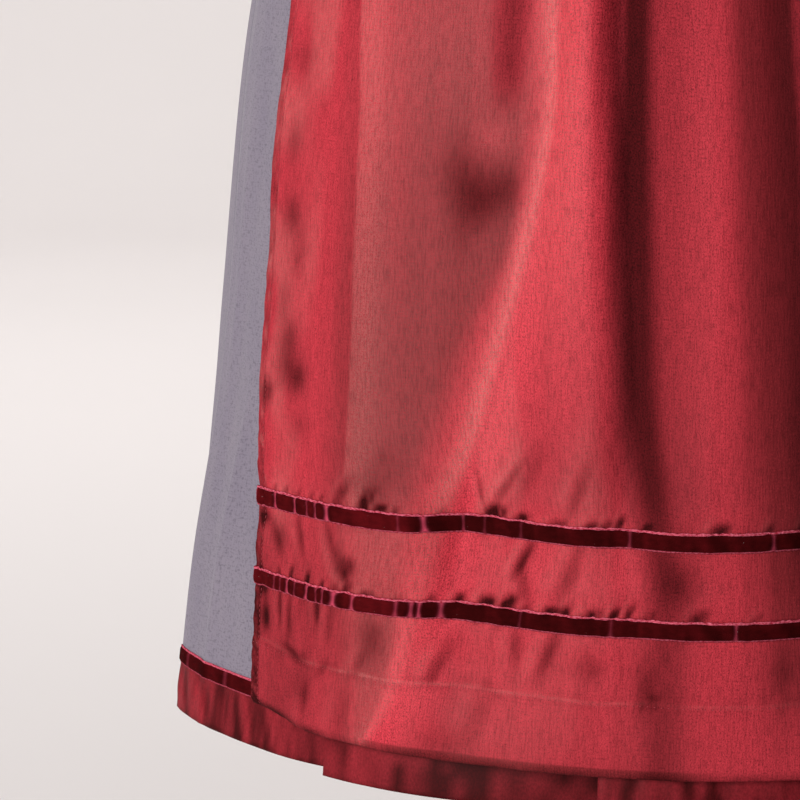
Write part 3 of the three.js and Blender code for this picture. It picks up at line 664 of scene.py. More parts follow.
def skirt_grid(columns, up):
    """Outer points of the skirt: an oval ring at each height, deeper at the pleats' inner folds.

    Soft upright ripples, a few degrees wide, wander along the height and grow towards the hem.
    """
    azimuth, shift, deep, extra = (c[None, :] for c in columns)
    up = np.asarray(up, float)[:, None]
    radius, aspect, stand = (curve(SKIRT_FORM, key, up) for key in ("radius", "aspect", "stand"))
    angle = np.radians(azimuth) + shift / radius
    front = smooth(np.cos(angle), 0.72, 0.92)
    r = radius - deep * stand - extra - FRONT_PRESS * front * smooth(up, 0, PRESS_REACH)
    degrees = np.degrees(angle)
    around = np.abs((degrees + 180) % 360 - 180)
    r = r - SIDE_HOLLOW * bell(around, 100, 21) * smooth(around, 73, 80) * (1 - smooth(up, 50, 220))
    free = (1 - deep) * (1 - front)
    wave = noise_2d(degrees + 0.012 * up, up, 7.0, 260.0, 11) * 1.5
    wave = wave + noise_2d(degrees, up, 3.0, 120.0, 12) * 0.5
    r = r + free * wave * (0.4 + 0.6 * smooth(up, 500, 60))
    for middle, slant, height, wide, tall, proud in SKIRT_CREASES:
        away = np.radians(degrees - middle - slant * (up - height)) * radius / wide
        r = r + 1.7 * (1 - 0.7 * deep) * proud * bell(away, 0, 1) * bell(up, height, tall)
    return np.stack([r * np.sin(angle), -r * aspect * np.cos(angle), up - SKIRT_LENGTH + 0 * angle], axis=-1)


def cloth_uv(points, up):
    """The length along the columns and the height along the rows, in millimetres."""
    return np.meshgrid(arc(points), np.asarray(up, float))


class DIRNDL_OT_skirt(bpy.types.Operator):
    """Makes the pleated skirt's front and back in grey cotton"""
    bl_idname = "dirndl.skirt"
    bl_label = "Skirt"

    def execute(self, context):
        cotton = finish(context, "grey_cotton")
        up = spaced([(BORDER_HEIGHT + 0.3, 3), (60, 7), (430, 12), (SKIRT_LENGTH, 12)])
        for half in ("front", "back"):
            points = skirt_grid(skirt_columns(half), up)
            item = cloth(f"skirt_{half}_cloth", points, cotton, 1.0, cloth_uv(points, up))
            dress(item, "grey_cotton", f"skirt_{half}")
        return {"FINISHED"}


class DIRNDL_OT_hem_border(bpy.types.Operator):
    """Makes the satin border along the skirt's hem"""
    bl_idname = "dirndl.hem_border"
    bl_label = "Hem border"

    def execute(self, context):
        satin = finish(context, "red_satin")
        up = spaced([(0, 1.2), (4, 2), (BORDER_HEIGHT, 2)])
        for half in ("front", "back"):
            columns = skirt_columns(half)
            points = skirt_grid(columns, up)
            length = arc(points)
            pull = smooth(up, 2, 14)[:, None] * smooth(-up, -33, -20)[:, None]
            rise = np.asarray(up)[:, None]
            fold = noise_2d(length[None] + 0.25 * rise, rise, 6.5, 34.0, 21)
            small = noise_2d(length[None] - 0.1 * rise, rise, 2.6, 22.0, 22)
            points = moved(points, pull * (1 - columns[2][None]) * (0.9 * fold + 0.25 * small))
            # painted shade: darker under the apron's hem, in its own folds, along its lower edge and at the
            # pleat edges
            under = smooth(np.cos(np.radians(columns[0][None])), 0.80, 0.87)
            hollow = 0.27 + 0.45 * smooth(-fold, -0.3, 0.5) + 0.25 * small
            hollow = hollow + 0.2 * bell(columns[0][None], -58, 4.5)
            hollow = hollow + 0.42 * under * (1 - 0.3 * bell(fold, 0.7, 0.3))
            hollow = hollow + 0.25 * bell(rise, 0, 2.2) + 0.3 * np.clip(columns[3][None], 0, 1)
            item = cloth(f"hem_border_{half}_satin", points, satin, 1.3, cloth_uv(points, up),
                         hollow=np.clip(hollow, 0, 1))
            dress(item, "red_satin", f"hem_border_{half}")
        return {"FINISHED"}


# ------------------------------------------------------------------ apron
def fold_value(values, up):
    """A fold's value at a height: soft steps between the heights of the fold table."""
    up = np.clip(up, FOLD_HEIGHTS[0], FOLD_HEIGHTS[-1])
    i = np.clip(np.searchsorted(FOLD_HEIGHTS, up, side="left") - 1, 0, len(FOLD_HEIGHTS) - 2)
    heights, values = np.asarray(FOLD_HEIGHTS, float), np.asarray(values, float)
    t = smooth(up, heights[i], heights[i + 1])
    return values[i] + (values[i + 1] - values[i]) * t


def apron_shape(across, up):
    """Azimuth, radius and trough depth of the apron for arrays across (-1 to 1) and up."""
    azimuth = across * curve(APRON_FORM, "edge", up)
    radius = curve(SKIRT_FORM, "radius", up) + curve(APRON_FORM, "stand_off", up)
    radius = radius - smooth(np.abs(across), EDGE_SHARE, 1) * curve(APRON_FORM, "set_back", up)
    depth = np.zeros_like(radius)
    for fold in APRON_FOLDS:
        middle, deep, left, right = (fold_value(column, up) for column in fold)
        away = azimuth - middle
        depth = depth + deep * np.exp(-np.abs(away / np.where(away < 0, left, right)) ** FOLD_POWER)
    gathered = smooth(up, SKIRT_LENGTH - GATHER_REACH, SKIRT_LENGTH)
    radius = radius - depth + GATHER_HEIGHT * gathered * np.cos(across * GATHERS * math.pi)
    return azimuth, radius, depth


def apron_grid(across, up):
    """Outer points of the apron on the grid of across and up."""
    across, up = np.meshgrid(across, np.asarray(up, float))
    azimuth, radius, depth = apron_shape(across, up)
    aspect = curve(SKIRT_FORM, "aspect", up)
    angle = np.radians(azimuth)
    lift = smooth(np.abs(across), HEM_LIFT_FROM, 1) * (1 - smooth(up, APRON_HEM_UP, LOWER_RIBBON_UP))
    z = up + HEM_LIFT * lift - SKIRT_LENGTH
    return np.stack([radius * np.sin(angle), -radius * aspect * np.cos(angle), z], axis=-1), depth


# Soft hollows of the apron: azimuth, height, half width and half height in mm, depth, painted shade
APRON_HOLLOWS = (
    (-26.5, 306, 12, 14, 1.8, 0.5), (-23.7, 312, 9, 11, 0.6, 0.32), (-29.0, 318, 11, 17, 1.0, 0.3),
    (-28.2, 292, 9, 16, 0.6, 0.16), (-53.4, 371, 11, 8, 0.8, 0.26), (-53.6, 328, 9, 10, 0.9, 0.36),
    (-52.5, 290, 10, 11, 1.3, 0.5), (-50.4, 270, 9, 14, 0.8, 0.34), (-52.4, 246, 8, 10, 0.9, 0.26),
    (-50.6, 226, 11, 12, 1.1, 0.5), (-48.3, 207, 10, 10, 1.6, 0.66), (-51.0, 210, 8, 10, 0.9, 0.34),
    (-53.4, 196, 6, 7, 1.0, 0.6), (-46.6, 182, 8, 9, 0.6, 0.26), (-35.8, 158, 13, 9, 0.6, 0.24),
    (-34.6, 173, 11, 9, 0.4, 0.14), (-47.6, 124, 7, 10, 0.9, 0.34), (-37.8, 117, 4.6, 6, 2.2, 0.62),
    (-35.2, 80, 8, 13, 2.6, 0.42), (-50.2, 133, 5, 4, 1.2, 0.6), (-12.7, 77, 7, 7, 1.4, 0.34),
    (-7.6, 68, 5, 16, 1.2, 0.36), (-27.0, 30, 12, 7, 1.4, 0.2), (6.0, 78, 9, 14, 1.8, 0.3),
    (18.5, 250, 12, 24, 3.0, 0.3), (33.0, 118, 9, 12, 2.2, 0.4), (-4.0, 122, 12, 13, 2.0, 0.3),
    (49.8, 300, 6, 14, 2.2, 0.4), (51.6, 222, 6, 12, 2.2, 0.4), (48.6, 130, 6, 9, 1.6, 0.4),
)

# Leaning creases of the apron: azimuth, height, half width and half height in mm, lean, depth,
# painted shade
APRON_CREASES = (
    (-22.2, 165, 3.0, 13, 0.6, 1.0, 0.34), (-25.3, 160, 1.5, 9, -0.3, 0.6, 0.34),
    (-19.6, 172, 5.0, 14, 0.4, 0.8, 0.22), (-14.4, 165, 4.0, 14, 0.3, 0.8, 0.3),
    (-19.9, 130, 3.0, 10, 0.5, 1.4, 0.62), (-19.8, 116, 4.0, 11, -0.3, 0.8, 0.34),
    (-15.0, 124, 4.5, 17, 0.35, 1.1, 0.34), (-20.4, 84, 3.5, 11, 0.0, 0.8, 0.32),
    (-17.0, 82, 4.0, 13, 0.4, 1.3, 0.46), (-27.8, 76, 4.0, 9, 0.4, 0.9, 0.3),
    (-28.8, 67, 3.5, 7, 0.2, 0.7, 0.26), (-40.2, 129, 2.4, 9, -0.3, 0.8, 0.34),
    (-39.0, 119, 3.4, 7, -0.3, 0.9, 0.34), (-38.3, 111, 3.0, 4, -0.4, 0.9, 0.4),
    (-44.5, 128, 2.4, 13, -0.3, 0.8, 0.4), (-48.2, 124, 3.5, 9, -0.5, 0.6, 0.25),
    (-48.0, 88, 1.8, 13, 0.0, 0.6, 0.4), (-46.4, 86, 2.4, 15, 0.1, 0.6, 0.3),
    (-42.0, 90, 2.4, 8, 0.0, 0.8, 0.5), (-40.2, 86, 3.0, 12, 0.1, 0.6, 0.3),
    (-46.0, 63, 6.0, 3.5, -1.0, 0.8, 0.4), (-50.9, 95, 4.0, 6, 0.0, 0.8, 0.55),
    (-50.6, 78, 4.0, 8, 0.0, 0.8, 0.4), (-36.7, 66, 3.0, 8, 0.5, 0.8, 0.25),
    (-44.0, 40, 3.0, 12, 0.2, 0.5, 0.22), (-38.5, 40, 5.0, 14, 0.3, 0.6, 0.2),
    (-24.0, 46, 6.0, 16, 0.3, 0.6, 0.16), (-41.3, 60, 4.0, 6, 0.6, 0.6, 0.3),
    (10.0, 168, 4.0, 13, 0.4, 0.8, 0.3), (23.5, 166, 4.0, 12, -0.3, 0.8, 0.3),
    (31.5, 124, 4.0, 14, 0.3, 1.0, 0.3), (40.0, 84, 4.0, 12, 0.3, 1.0, 0.35),
    (15.0, 82, 4.0, 12, -0.3, 1.0, 0.3),
)

# Puckers above each ribbon: azimuth, half width and height in mm, depth
UPPER_PUCKERS = (
    (-49.2, 1.6, 4, 0.7), (-47.4, 1.4, 5, 0.8), (-45.4, 1.4, 6, 1.0), (-43.6, 1.4, 5, 0.8),
    (-42.0, 1.4, 5, 0.9), (-39.8, 3.0, 15, 1.0), (-36.6, 3.6, 11, 1.6), (-34.7, 3.8, 5, 1.5),
    (-33.0, 2.0, 4, 1.0), (-29.0, 1.4, 4, 0.6), (-23.7, 5.6, 7, 2.2), (-20.7, 3.6, 4.5, 1.7),
    (-16.6, 4.2, 3.4, 1.4), (-13.3, 3.0, 4, 1.6), (-11.8, 2.2, 5, 1.5), (-10.7, 1.9, 7, 1.5),
    (-8.0, 2.0, 4, 0.8), (-1.2, 4, 6, 1.8), (3.6, 2, 5, 1.2), (7.5, 3, 7, 1.6), (13.0, 3, 5, 1.5),
    (18.8, 2.4, 6, 1.2), (24.5, 4, 8, 1.8), (30.6, 2, 5, 1.2), (36.2, 3, 6, 1.6), (41.0, 2, 5, 1.2),
    (45.5, 2, 5, 1.0),
)
LOWER_PUCKERS = (
    (-48.2, 1.4, 5, 0.8), (-46.2, 1.5, 8, 1.1), (-43.6, 1.6, 8, 1.3), (-41.4, 1.6, 5, 1.2),
    (-39.6, 1.4, 4, 0.8), (-38.2, 2.4, 6, 1.4), (-35.7, 3.6, 3.2, 1.4), (-32.4, 1.4, 3, 0.6),
    (-29.5, 2.4, 4, 0.8), (-27.0, 3.0, 5, 1.5), (-24.0, 4.2, 6, 2.0), (-21.6, 3.8, 8, 2.1),
    (-19.6, 2.0, 4, 1.0), (-16.9, 4.2, 4.5, 1.7), (-15.4, 2.4, 7, 1.4), (-12.9, 4.2, 5, 1.7),
    (-10.9, 2.2, 7, 1.7), (-9.6, 2.0, 8, 1.7), (-7.6, 2.4, 5, 0.9), (-3.0, 4, 7, 1.6),
    (2.4, 2, 5, 1.1), (9.8, 3, 6, 1.5), (15.0, 2, 5, 1.0), (21.4, 4, 7, 1.7), (27.2, 2, 5, 1.1),
    (33.5, 3, 6, 1.5), (39.8, 2, 5, 1.1), (46.0, 2, 5, 1.0),
)

# The first deep fold by height: azimuth of its ridge, of the darkest line of its painted shade and of
# its bright crest, which takes a painted highlight, and how much of the weft shows, partly as real
# shot colour and partly as painted shade, at the ridge, at the dark line and on the flat to the right
# of the crest
SHOT = {
    "up": (22, 48, 80, 130, 160, 172, 192, 212, 232, 254, 273, 295, 314, 334, 354, 374, 404, 700),
    "ridge": (-37.8, -37.8, -37.8, -38.5, -39.0, -39.3, -39.6, -39.8, -40.0, -40.4, -40.7, -40.9, -41.1,
              -41.3, -41.6, -42.2, -43.0, -46),
    "dark": (-36.8, -36.6, -36.1, -36.4, -37.6, -37.2, -36.4, -35.4, -34.1, -32.1, -30.7, -30.0, -31.0,
             -31.4, -32.5, -33.6, -34.4, -38),
    "crest": (-36.0, -32.6, -30.9, -28.8, -27.7, -26.8, -25.6, -24.6, -23.6, -22.4, -21.4, -20.4, -19.6,
              -18.8, -18.3, -18.5, -19.0, -21),
    "at_ridge": (0.4, 0.4, 0.6, 0.5, 0.75, 0.85, 0.85, 0.85, 0.8, 0.74, 0.7, 0.65, 0.56, 0.46, 0.4, 0.32,
                 0.28, 0.25),
    "at_dark": (0.55, 0.55, 0.75, 0.55, 0.9, 1.0, 1.0, 1.0, 1.0, 1.0, 1.0, 0.97, 0.92, 0.86, 0.78, 0.7,
                0.62, 0.55),
    "right": (0.5, 0.42, 0.34, 0.24, 0.45, 0.5, 0.42, 0.34, 0.3, 0.24, 0.2, 0.14, 0.12, 0.12, 0.08, 0.06,
              0.06, 0.06),
}

# The second deep fold by height: azimuth where its painted shade begins, how dark that painted
# shade is and how softly it begins
SHADE = {
    "up": (22, 68, 118, 160, 190, 230, 404, 700),
    "edge": (-8.0, -7.6, -7.8, -9.3, -10.5, -11.2, -12.4, -12.4),
    "deep": (0.5, 0.6, 0.74, 0.86, 0.91, 0.92, 0.96, 0.75),
    "soft": (1.9, 1.9, 2.2, 2.2, 2.0, 1.8, 1.4, 1.4),
}

# Half the apron's width in mm, for lengths along it, and the strength of the deepest pucker in the tables
HALF_WIDTH = 275.0
DEEPEST_PUCKER = 2.2


def apron_relief(across, up, sizes):
    """Small forms of the apron in millimetres outwards, with the painted shade and painted highlights
    laid on them.

    Each form is a bump or a dent that falls off as a bell or a soft step from its middle.
    """
    across, up = np.meshgrid(across, np.asarray(up, float))
    azimuth = across * curve(APRON_FORM, "edge", up)
    radius = curve(SKIRT_FORM, "radius", up) + 10
    along = across * HALF_WIDTH
    inward = (1 - np.abs(across)) * HALF_WIDTH
    relief = 0.18 * noise_2d(along, up, 5.0, 70.0, 31) + 0.7 * noise_2d(along, up, 28.0, 140.0, 32)
    shade = np.zeros_like(relief)
    light = np.zeros_like(relief)
    # each hollow and crease lays painted shade, and each crease a painted highlight beside it
    for middle, height, wide, tall, deep, dark in APRON_HOLLOWS:
        away = np.radians(azimuth - middle) * radius / wide
        dent = np.exp(-np.abs(away) ** 2 - np.abs((up - height) / tall) ** 2)
        relief = relief - deep * dent
        shade = shade + 1.2 * dark * dent ** 1.1
    for middle, height, wide, tall, lean, deep, dark in APRON_CREASES:
        away = np.radians(azimuth - middle) * radius - lean * (up - height)
        dent = np.exp(-np.abs(away / wide) ** 2.2 - np.abs((up - height) / tall) ** 2.4)
        relief = relief - deep * dent
        shade = shade + 1.3 * dark * dent
        light = light + 0.16 * dark * bell(away, -2.1 * wide, 1.1 * wide) * bell(up, height, tall)

    # puckers above each ribbon with painted shade and painted glints, fainter ones below it, and the
    # cloth swelling between them
    pucker = sizes.pucker_depth / MM / DEEPEST_PUCKER
    ragged = 1 + 0.5 * noise_2d(along, up, 2.6, 5.0, 40)
    for ribbon, puckers in ((LOWER_RIBBON_UP, LOWER_PUCKERS), (UPPER_RIBBON_UP, UPPER_PUCKERS)):
        above = up - ribbon - 9
        below = ribbon + 1 - up
        over = above > 0
        for middle, wide, tall, deep in puckers:
            away = np.radians(azimuth - middle) * radius - 0.45 * above
            fall = np.where(over, 1 - smooth(above, 0.35 * tall, 1.4 * tall), 1 - smooth(-above, 0, 2))
            tuck = np.exp(-np.abs(away / (1.15 * wide)) ** 3) * fall * ragged
            under = smooth(below, 0, 1) * (1 - smooth(below, 1.5, 0.8 * tall)) * bell(away, 0, wide)
            glint = over * bell(above, 0.6 * tall, 0.8 * tall) * bell(away, -1.8 * wide, 0.7 * wide)
            relief = relief - pucker * deep * (tuck + 0.5 * under)
            shade = shade + deep * (0.5 * tuck + 0.1 * under)
            light = light + 0.04 * deep * glint
        relief = relief + 0.9 * bell(above, 11, 8) * over - 0.5 * bell(up, ribbon + 5, 7)

    # side hems: a rope of twisted cloth, its stitches and the cloth they tug at, with painted highlights
    # on the twists and stitches and mottled painted shade along the rope
    hem = sizes.side_hem / MM
    rolled = 1 - smooth(inward, hem - 1, hem + 0.5)
    twist = noise_2d(up + inward, inward, 2.8, 4.0, 43)
    stitched = noise_1d(up, 2.6, 42)
    side = bell(inward, hem, 0.8) * (0.35 + 0.35 * stitched)
    tug = bell(inward, hem + 5, 5) * 0.5 * noise_1d(up + 90 * (across > 0), 11.0, 44)
    sway = 1.1 * noise_1d(up + 50 * (across > 0), 34.0, 45) * bell(inward, 0, 9)
    relief = relief - side + rolled * (0.3 + 0.45 * twist) + tug + sway
    light = light + 0.22 * smooth(twist, 0.1, 0.8) * rolled
    light = light + 0.2 * bell(inward, hem + 1.2, 0.6) * smooth(stitched, 0.2, 0.9)
    mottle = 0.3 + 0.14 * smooth(-up, -170, -150) + 0.22 * noise_2d(up + inward, inward, 2.8, 3.0, 49)
    shade = shade + mottle * (1 - smooth(inward, hem - 0.5, hem + 1.2))

    # turned hem: doubled cloth below a sewn line that wanders and pulls, with a painted highlight along
    # the line and painted shade beside it
    turn = APRON_HEM_UP + sizes.apron_hem / MM + 2.5 * smooth(np.abs(across), 0.85, 1)
    turn = turn + 0.7 * noise_1d(along, 16.0, 46)
    doubled = 0.22 * (1 - smooth(up, turn - 0.8, turn + 0.4))
    gathers = noise_1d(along, 5.0, 47)
    pulled = bell(up, turn, 1.0) * 0.18 - 0.35 * bell(up, turn, 6) * np.clip(gathers, -1, 0.2)
    stitched = 0.5 + 0.5 * noise_1d(along, 3.4, 50)
    light = light + bell(up, turn, 0.8) * (0.05 + 0.13 * stitched) * (0.5 + 0.5 * smooth(-azimuth, 16, 30))
    shade = shade + 0.16 * bell(up, turn - 2.2, 1.4) * stitched
    shade = shade + 0.2 * bell(up, turn + 2.5, 2.4) * smooth(noise_1d(along, 6.0, 47), 0.1, 0.8)

    # lower edge: rolled in, scalloped and darkened with painted shade
    rolled = 2.0 * (1 - smooth(up, APRON_HEM_UP - 1, APRON_HEM_UP + 7)) ** 2
    scallop = 0.9 * noise_1d(along, 19.0, 48) * (1 - smooth(up, APRON_HEM_UP, APRON_HEM_UP + 14))
    low_edge = 1 - smooth(up, APRON_HEM_UP, APRON_HEM_UP + 6.5)
    shade = shade + (0.42 + 0.15 * noise_1d(along, 11.0, 53)) * low_edge
    return relief + doubled - pulled - rolled + scallop, np.clip(shade, 0, 1), light


APRON_ACROSS = spaced([(-1, 0.0016), (-0.968, 0.0049), (-0.1, 0.0079), (0.3, 0.016), (0.96, 0.0055),
                       (1, 0.0055)])
APRON_UP = spaced([(APRON_HEM_UP, 1.2), (30, 2.6), (56, 1.2), (66, 2.6), (94, 2.0), (103, 1.1), (112, 1.4),
                   (134, 2.4),
                   (147, 1.1), (157, 1.4), (180, 4.5), (250, 6.5), (430, 12), (590, 9), (SKIRT_LENGTH, 9)])


def lean_of(points):
    """How far a surface turns to the viewer's right of its own place on the round, in radians."""
    n = normals(points)
    return np.arctan2(n[..., 0], -n[..., 1]) - np.arctan2(points[..., 0], -points[..., 1])


def shot_fields(across, up, points, depth, shade, light):
    """How much weft shows, partly as painted shade, how much painted shade lies in the folds,
    and how much painted sheen and painted highlight are laid on, 0 to 1.
    """
    across, up = np.meshgrid(across, np.asarray(up, float))
    azimuth = across * curve(APRON_FORM, "edge", up)
    along = across * HALF_WIDTH
    ridge, dark, crest, at_ridge, at_dark, right = (
        curve(SHOT, key, up) for key in ("ridge", "dark", "crest", "at_ridge", "at_dark", "right"))
    # how much weft shows, partly real shot colour and partly painted shade where the cloth turns from
    # the light: left of the ridge, down to the dark line, up to the crest and right of it
    falling = at_ridge + (at_dark - at_ridge) * smooth(azimuth, ridge, dark)
    start = 0.36 + 0.26 * smooth(up, 225, 300) + 0.1 * smooth(-up, -176, -156)
    rising = at_dark * (1 - smooth(azimuth, dark + (crest - dark) * start, crest - 0.8))
    beside = 0.3 + 0.12 * smooth(-up, -170, -120)
    beside = beside + (0.75 * at_ridge - 0.1) * bell(np.minimum(azimuth - ridge, 0), 0, 2.8)
    weft = np.where(azimuth < ridge, beside, np.where(azimuth < dark, falling, rising))
    weft = weft + right * smooth(azimuth, crest + 0.5, crest + 6)
    # right of the middle the weft follows how far the cloth turns away from the light, as painted shade
    turned = 0.25 + 0.6 * smooth(lean_of(points), 0.02, 0.3)
    weft = weft * (1 - smooth(azimuth, -6, 0)) + smooth(azimuth, -6, 0) * turned
    # a short tuck high in the first fold, the gap below it, and the apron's lower left corner;
    # the tuck and the corner take painted shade
    tuck = np.exp(-np.abs((azimuth + 24.3) / (1.6 + 0.6 * smooth(up, 340, 400))) ** 4) * smooth(up, 342, 372)
    gap = bell(azimuth, -25.6, 2.2) * bell(up, 336, 9)
    corner = smooth(-azimuth, 38.5, 45) * smooth(-up, -150, -85)
    weft = weft * (1 - 0.6 * tuck) * (1 - 0.35 * gap)
    weft = weft + 0.07 * noise_2d(along, up, 6.0, 90.0, 33) + 0.06 * noise_2d(along, up, 1.8, 60.0, 34)
    weft = weft * (1 - 0.5 * corner)

    # painted shade in the second fold, in the lower left corner, in the unseen folds and in the tuck
    edge, deep, soft = (curve(SHADE, key, up) for key in ("edge", "deep", "soft"))
    hollow = (0.42 + 0.16 * noise_2d(along, up, 8.0, 15.0, 37)) * corner
    hollow = hollow + deep * smooth(azimuth, edge - soft * 0.7, edge + soft * 0.9)
    hollow = hollow * (1 - 0.47 * smooth(azimuth, edge + 2.6, edge + 5.0)) * (1 - smooth(azimuth, -7.5, 0))
    hollow = hollow + 0.6 * smooth(depth, 6, 16) * smooth(azimuth, -1, 3)
    hollow = hollow + 0.55 * tuck * (0.7 + 0.3 * bell(azimuth, -24.2, 1.0))

    # painted sheen over the first fold, a painted highlight along its bright crest, and painted sheen
    # at the left edge and right of the crest
    low = smooth(-up, -165, -130)
    pink = smooth(azimuth, ridge - 0.15 - 1.8 * low, ridge + 0.15 + 2.2 * low)
    bloom = (0.055 + 0.05 * low + 0.03 * smooth(up, 300, 380)) * pink
    bloom = bloom * (1 - smooth(azimuth, crest - 4, crest + 1))
    bloom = bloom + pink * 0.09 * bell(azimuth, ridge + 1.6, 2.2) * (1 - low) + 0.03 * gap
    line = azimuth - crest + 0.8
    bloom = bloom + 0.27 * bell(line, 0, np.where(line < 0, 1.3, 0.8)) * (1 - 0.6 * low)
    patches = smooth(noise_2d(along, up, 16.0, 34.0, 35), -0.2, 0.8)
    bloom = bloom + 0.16 * patches * smooth(-azimuth, 45, 48)
    sheen = 0.12 * smooth(up, 190, 330) + 0.1 * smooth(noise_2d(along, up, 16.0, 60.0, 36), -0.2, 0.8)
    beyond = smooth(azimuth, crest - 0.5, crest + 1) * (1 - smooth(azimuth, edge - 5.0, edge - 1.2))
    bloom = bloom + sheen * (1 - 0.6 * low) * beyond
    bloom = bloom * (1 - 0.9 * corner) + light
    bloom = bloom * (1 - tuck) * (1 - 0.9 * np.clip(hollow, 0, 1)) * (1 - 0.7 * np.clip(shade, 0, 1))
    return np.clip(weft, 0, 1), np.clip(shade + hollow, 0, 1), np.clip(bloom, 0, 1)


def apron_sheet(across, up, sizes):
    """Outer points of the apron with its small forms, and the three fields of its taffeta."""
    base, depth = apron_grid(across, up)
    relief, shade, light = apron_relief(across, up, sizes)
    return moved(base, relief), shot_fields(across, up, base, depth, shade, light)


class DIRNDL_OT_apron(bpy.types.Operator):
    """Makes the apron's panel in shot taffeta, with its hems and their stitching"""
    bl_idname = "dirndl.apron"
    bl_label = "Apron"

    def execute(self, context):
        sizes = context.scene.dirndl_sizes
        taffeta = finish(context, "shot_taffeta")
        points, (flank, hollow, bloom) = apron_sheet(APRON_ACROSS, APRON_UP, sizes)
        item = cloth("apron_taffeta", points, taffeta, 1.0, cloth_uv(points, APRON_UP), flank=flank,
                     hollow=hollow, bloom=bloom)
        dress(item, "red_taffeta", "apron")

        outward = normals(points)
        pitch = sizes.stitch_pitch / MM
        along = (1 + APRON_ACROSS) * HALF_WIDTH
        lines = seam_stitches(points, along, APRON_UP, sizes.side_hem / MM, pitch, "lr")
        row = np.argmin(np.abs(APRON_UP - APRON_HEM_UP - sizes.apron_hem / MM + 0.8))
        lines.append(stitch_line(points[row], outward[row], pitch * 1.2, 0.3))
        sew("apron_stitching", lines, finish(context, "red_thread"), "red_taffeta", proud=0.12)
        return {"FINISHED"}


# ------------------------------------------------------------------ velvet ribbons
# Section of a ribbon from its lower edge: share of its width, how proud it stands in mm
RIBBON_SECTION = (
    (0, 0.4), (0.012, 0.62), (0.045, 0.68), (0.072, 0.6), (0.086, 0.75), (0.115, 1.15), (0.17, 1.45),
    (0.3, 1.55), (0.42, 1.5), (0.58, 1.5), (0.7, 1.55), (0.78, 1.45), (0.835, 1.15), (0.865, 0.8),
    (0.88, 0.72), (0.91, 0.85), (0.94, 0.9), (0.97, 0.82), (0.988, 0.68), (1, 0.4),
)

# Creases across each ribbon: azimuth, half width in mm, strength
UPPER_CREASES = (
    (-48.4, 0.8, 0.9), (-45.4, 0.8, 0.9), (-43.6, 0.6, 0.4), (-42.3, 0.7, 0.6), (-40.7, 1.2, 1.0),
    (-32.4, 0.7, 0.25), (-30.2, 1.1, 1.0), (-27.1, 0.8, 0.4), (-24.6, 0.8, 0.15), (-20.4, 1.0, 0.15),
    (-9.4, 0.8, 0.3), (4.0, 0.9, 0.5), (16.5, 0.8, 0.6), (30.4, 1.0, 0.7), (39.0, 0.8, 0.5),
    (45.0, 0.8, 0.8),
)
LOWER_CREASES = (
    (-48.6, 0.7, 0.35), (-47.6, 0.6, 0.4), (-46.5, 0.8, 0.95), (-45.2, 0.6, 0.35), (-43.3, 0.9, 0.95),
    (-42.0, 0.6, 0.5), (-41.0, 0.7, 0.5), (-39.6, 1.8, 1.0), (-37.3, 1.0, 0.8), (-32.5, 1.0, 0.5),
    (-31.1, 1.0, 0.75), (-30.4, 0.8, 0.9), (-28.5, 1.3, 0.7), (-20.0, 0.8, 0.15), (-11.0, 1.0, 0.2),
    (0.6, 0.8, 0.5), (12.4, 1.0, 0.6), (25.5, 0.8, 0.5), (35.6, 1.0, 0.7), (44.2, 0.8, 0.6),
)


def ribbon_section(width):
    """Rows across a ribbon: how far up in mm, how proud, and how much of the row is woven edge."""
    share = np.array([row[0] for row in RIBBON_SECTION])
    proud = np.array([row[1] for row in RIBBON_SECTION])
    woven = 1 - smooth(share, 0.072, 0.086) * (1 - smooth(share, 0.865, 0.88))
    return share * width, proud, woven


def crease_field(azimuth, radius, creases, spread):
    """Strength of the creases at an azimuth, 0 to 1, each spread to a multiple of its width."""
    total = np.zeros_like(azimuth)
    for middle, wide, strength in creases:
        total = np.maximum(total, strength * bell(np.radians(azimuth - middle) * radius, 0, wide * spread))
    return total


def ribbon(name, points, proud, woven, crease, beside, darker, material, uv):
    """Velvet ribbon on a grid of cloth points: raised pile between two thin woven edges.

    The pile lies down in a crease, most at the ribbon's edges, and takes a painted sheen there; painted
    shade darkens it beside the crease.
    """
    along = arc(points)
    part = uv[1] / uv[1].max()
    points = points + (0.5 - part[..., None]) * [0, 0, 0.9] * crease[..., None]
    lying = crease * (0.5 + 0.5 * np.abs(2 * part - 1) ** 1.5)
    lift = proud[:, None] * (1 - 0.5 * lying * (1 - woven[:, None]))
    lift = lift + 0.1 * noise_2d(along[None] + 0 * lift, uv[1], 2.2, 3.0, 51) * (1 - woven[:, None])
    lift = lift + woven[:, None] * 0.22 * noise_2d(along[None] + 0 * lift, uv[1], 0.9, 1.2, 52)
    band = noise_1d(along + 6 * part, 8.0, 54) + 0.5 * noise_1d(along, 2.6, 55)
    # tone: random bands, less where painted shade lies beside the creases and along the given darkening, and
    # lighter in a band near the upper edge
    tone = 0.5 - darker + 0.3 * band - 0.6 * beside * (1 - lying) + 0.15 * bell(part, 0.82, 0.1)
    return cloth(name, moved(points, 0.12 + lift), material, 0.35, uv, crease=lying * (1 - woven[:, None]),
                 tone=np.clip(tone, 0, 1), edge=woven[:, None] * (0.55 + 0.45 * smooth(part, 0.3, 0.7)))


def turned_under(points):
    """Adds columns at both ends that carry a ribbon round the cloth's edge to its inside."""
    n = normals(points)
    ends = []
    for edge, inner in ((0, 1), (-1, -2)):
        out = points[:, edge] - points[:, inner]
        out = out / np.linalg.norm(out, axis=1, keepdims=True)
        steps = ((0.5, 0.0), (1.1, -0.5), (1.3, -1.3), (0.9, -2.2), (-1.0, -2.7), (-5.0, -2.8))
        ends.append([points[:, edge] + out * a + n[:, edge] * b for a, b in steps])
    left = np.stack(ends[0][::-1], axis=1)
    right = np.stack(ends[1], axis=1)
    return np.concatenate([left, points, right], axis=1), len(ends[0])


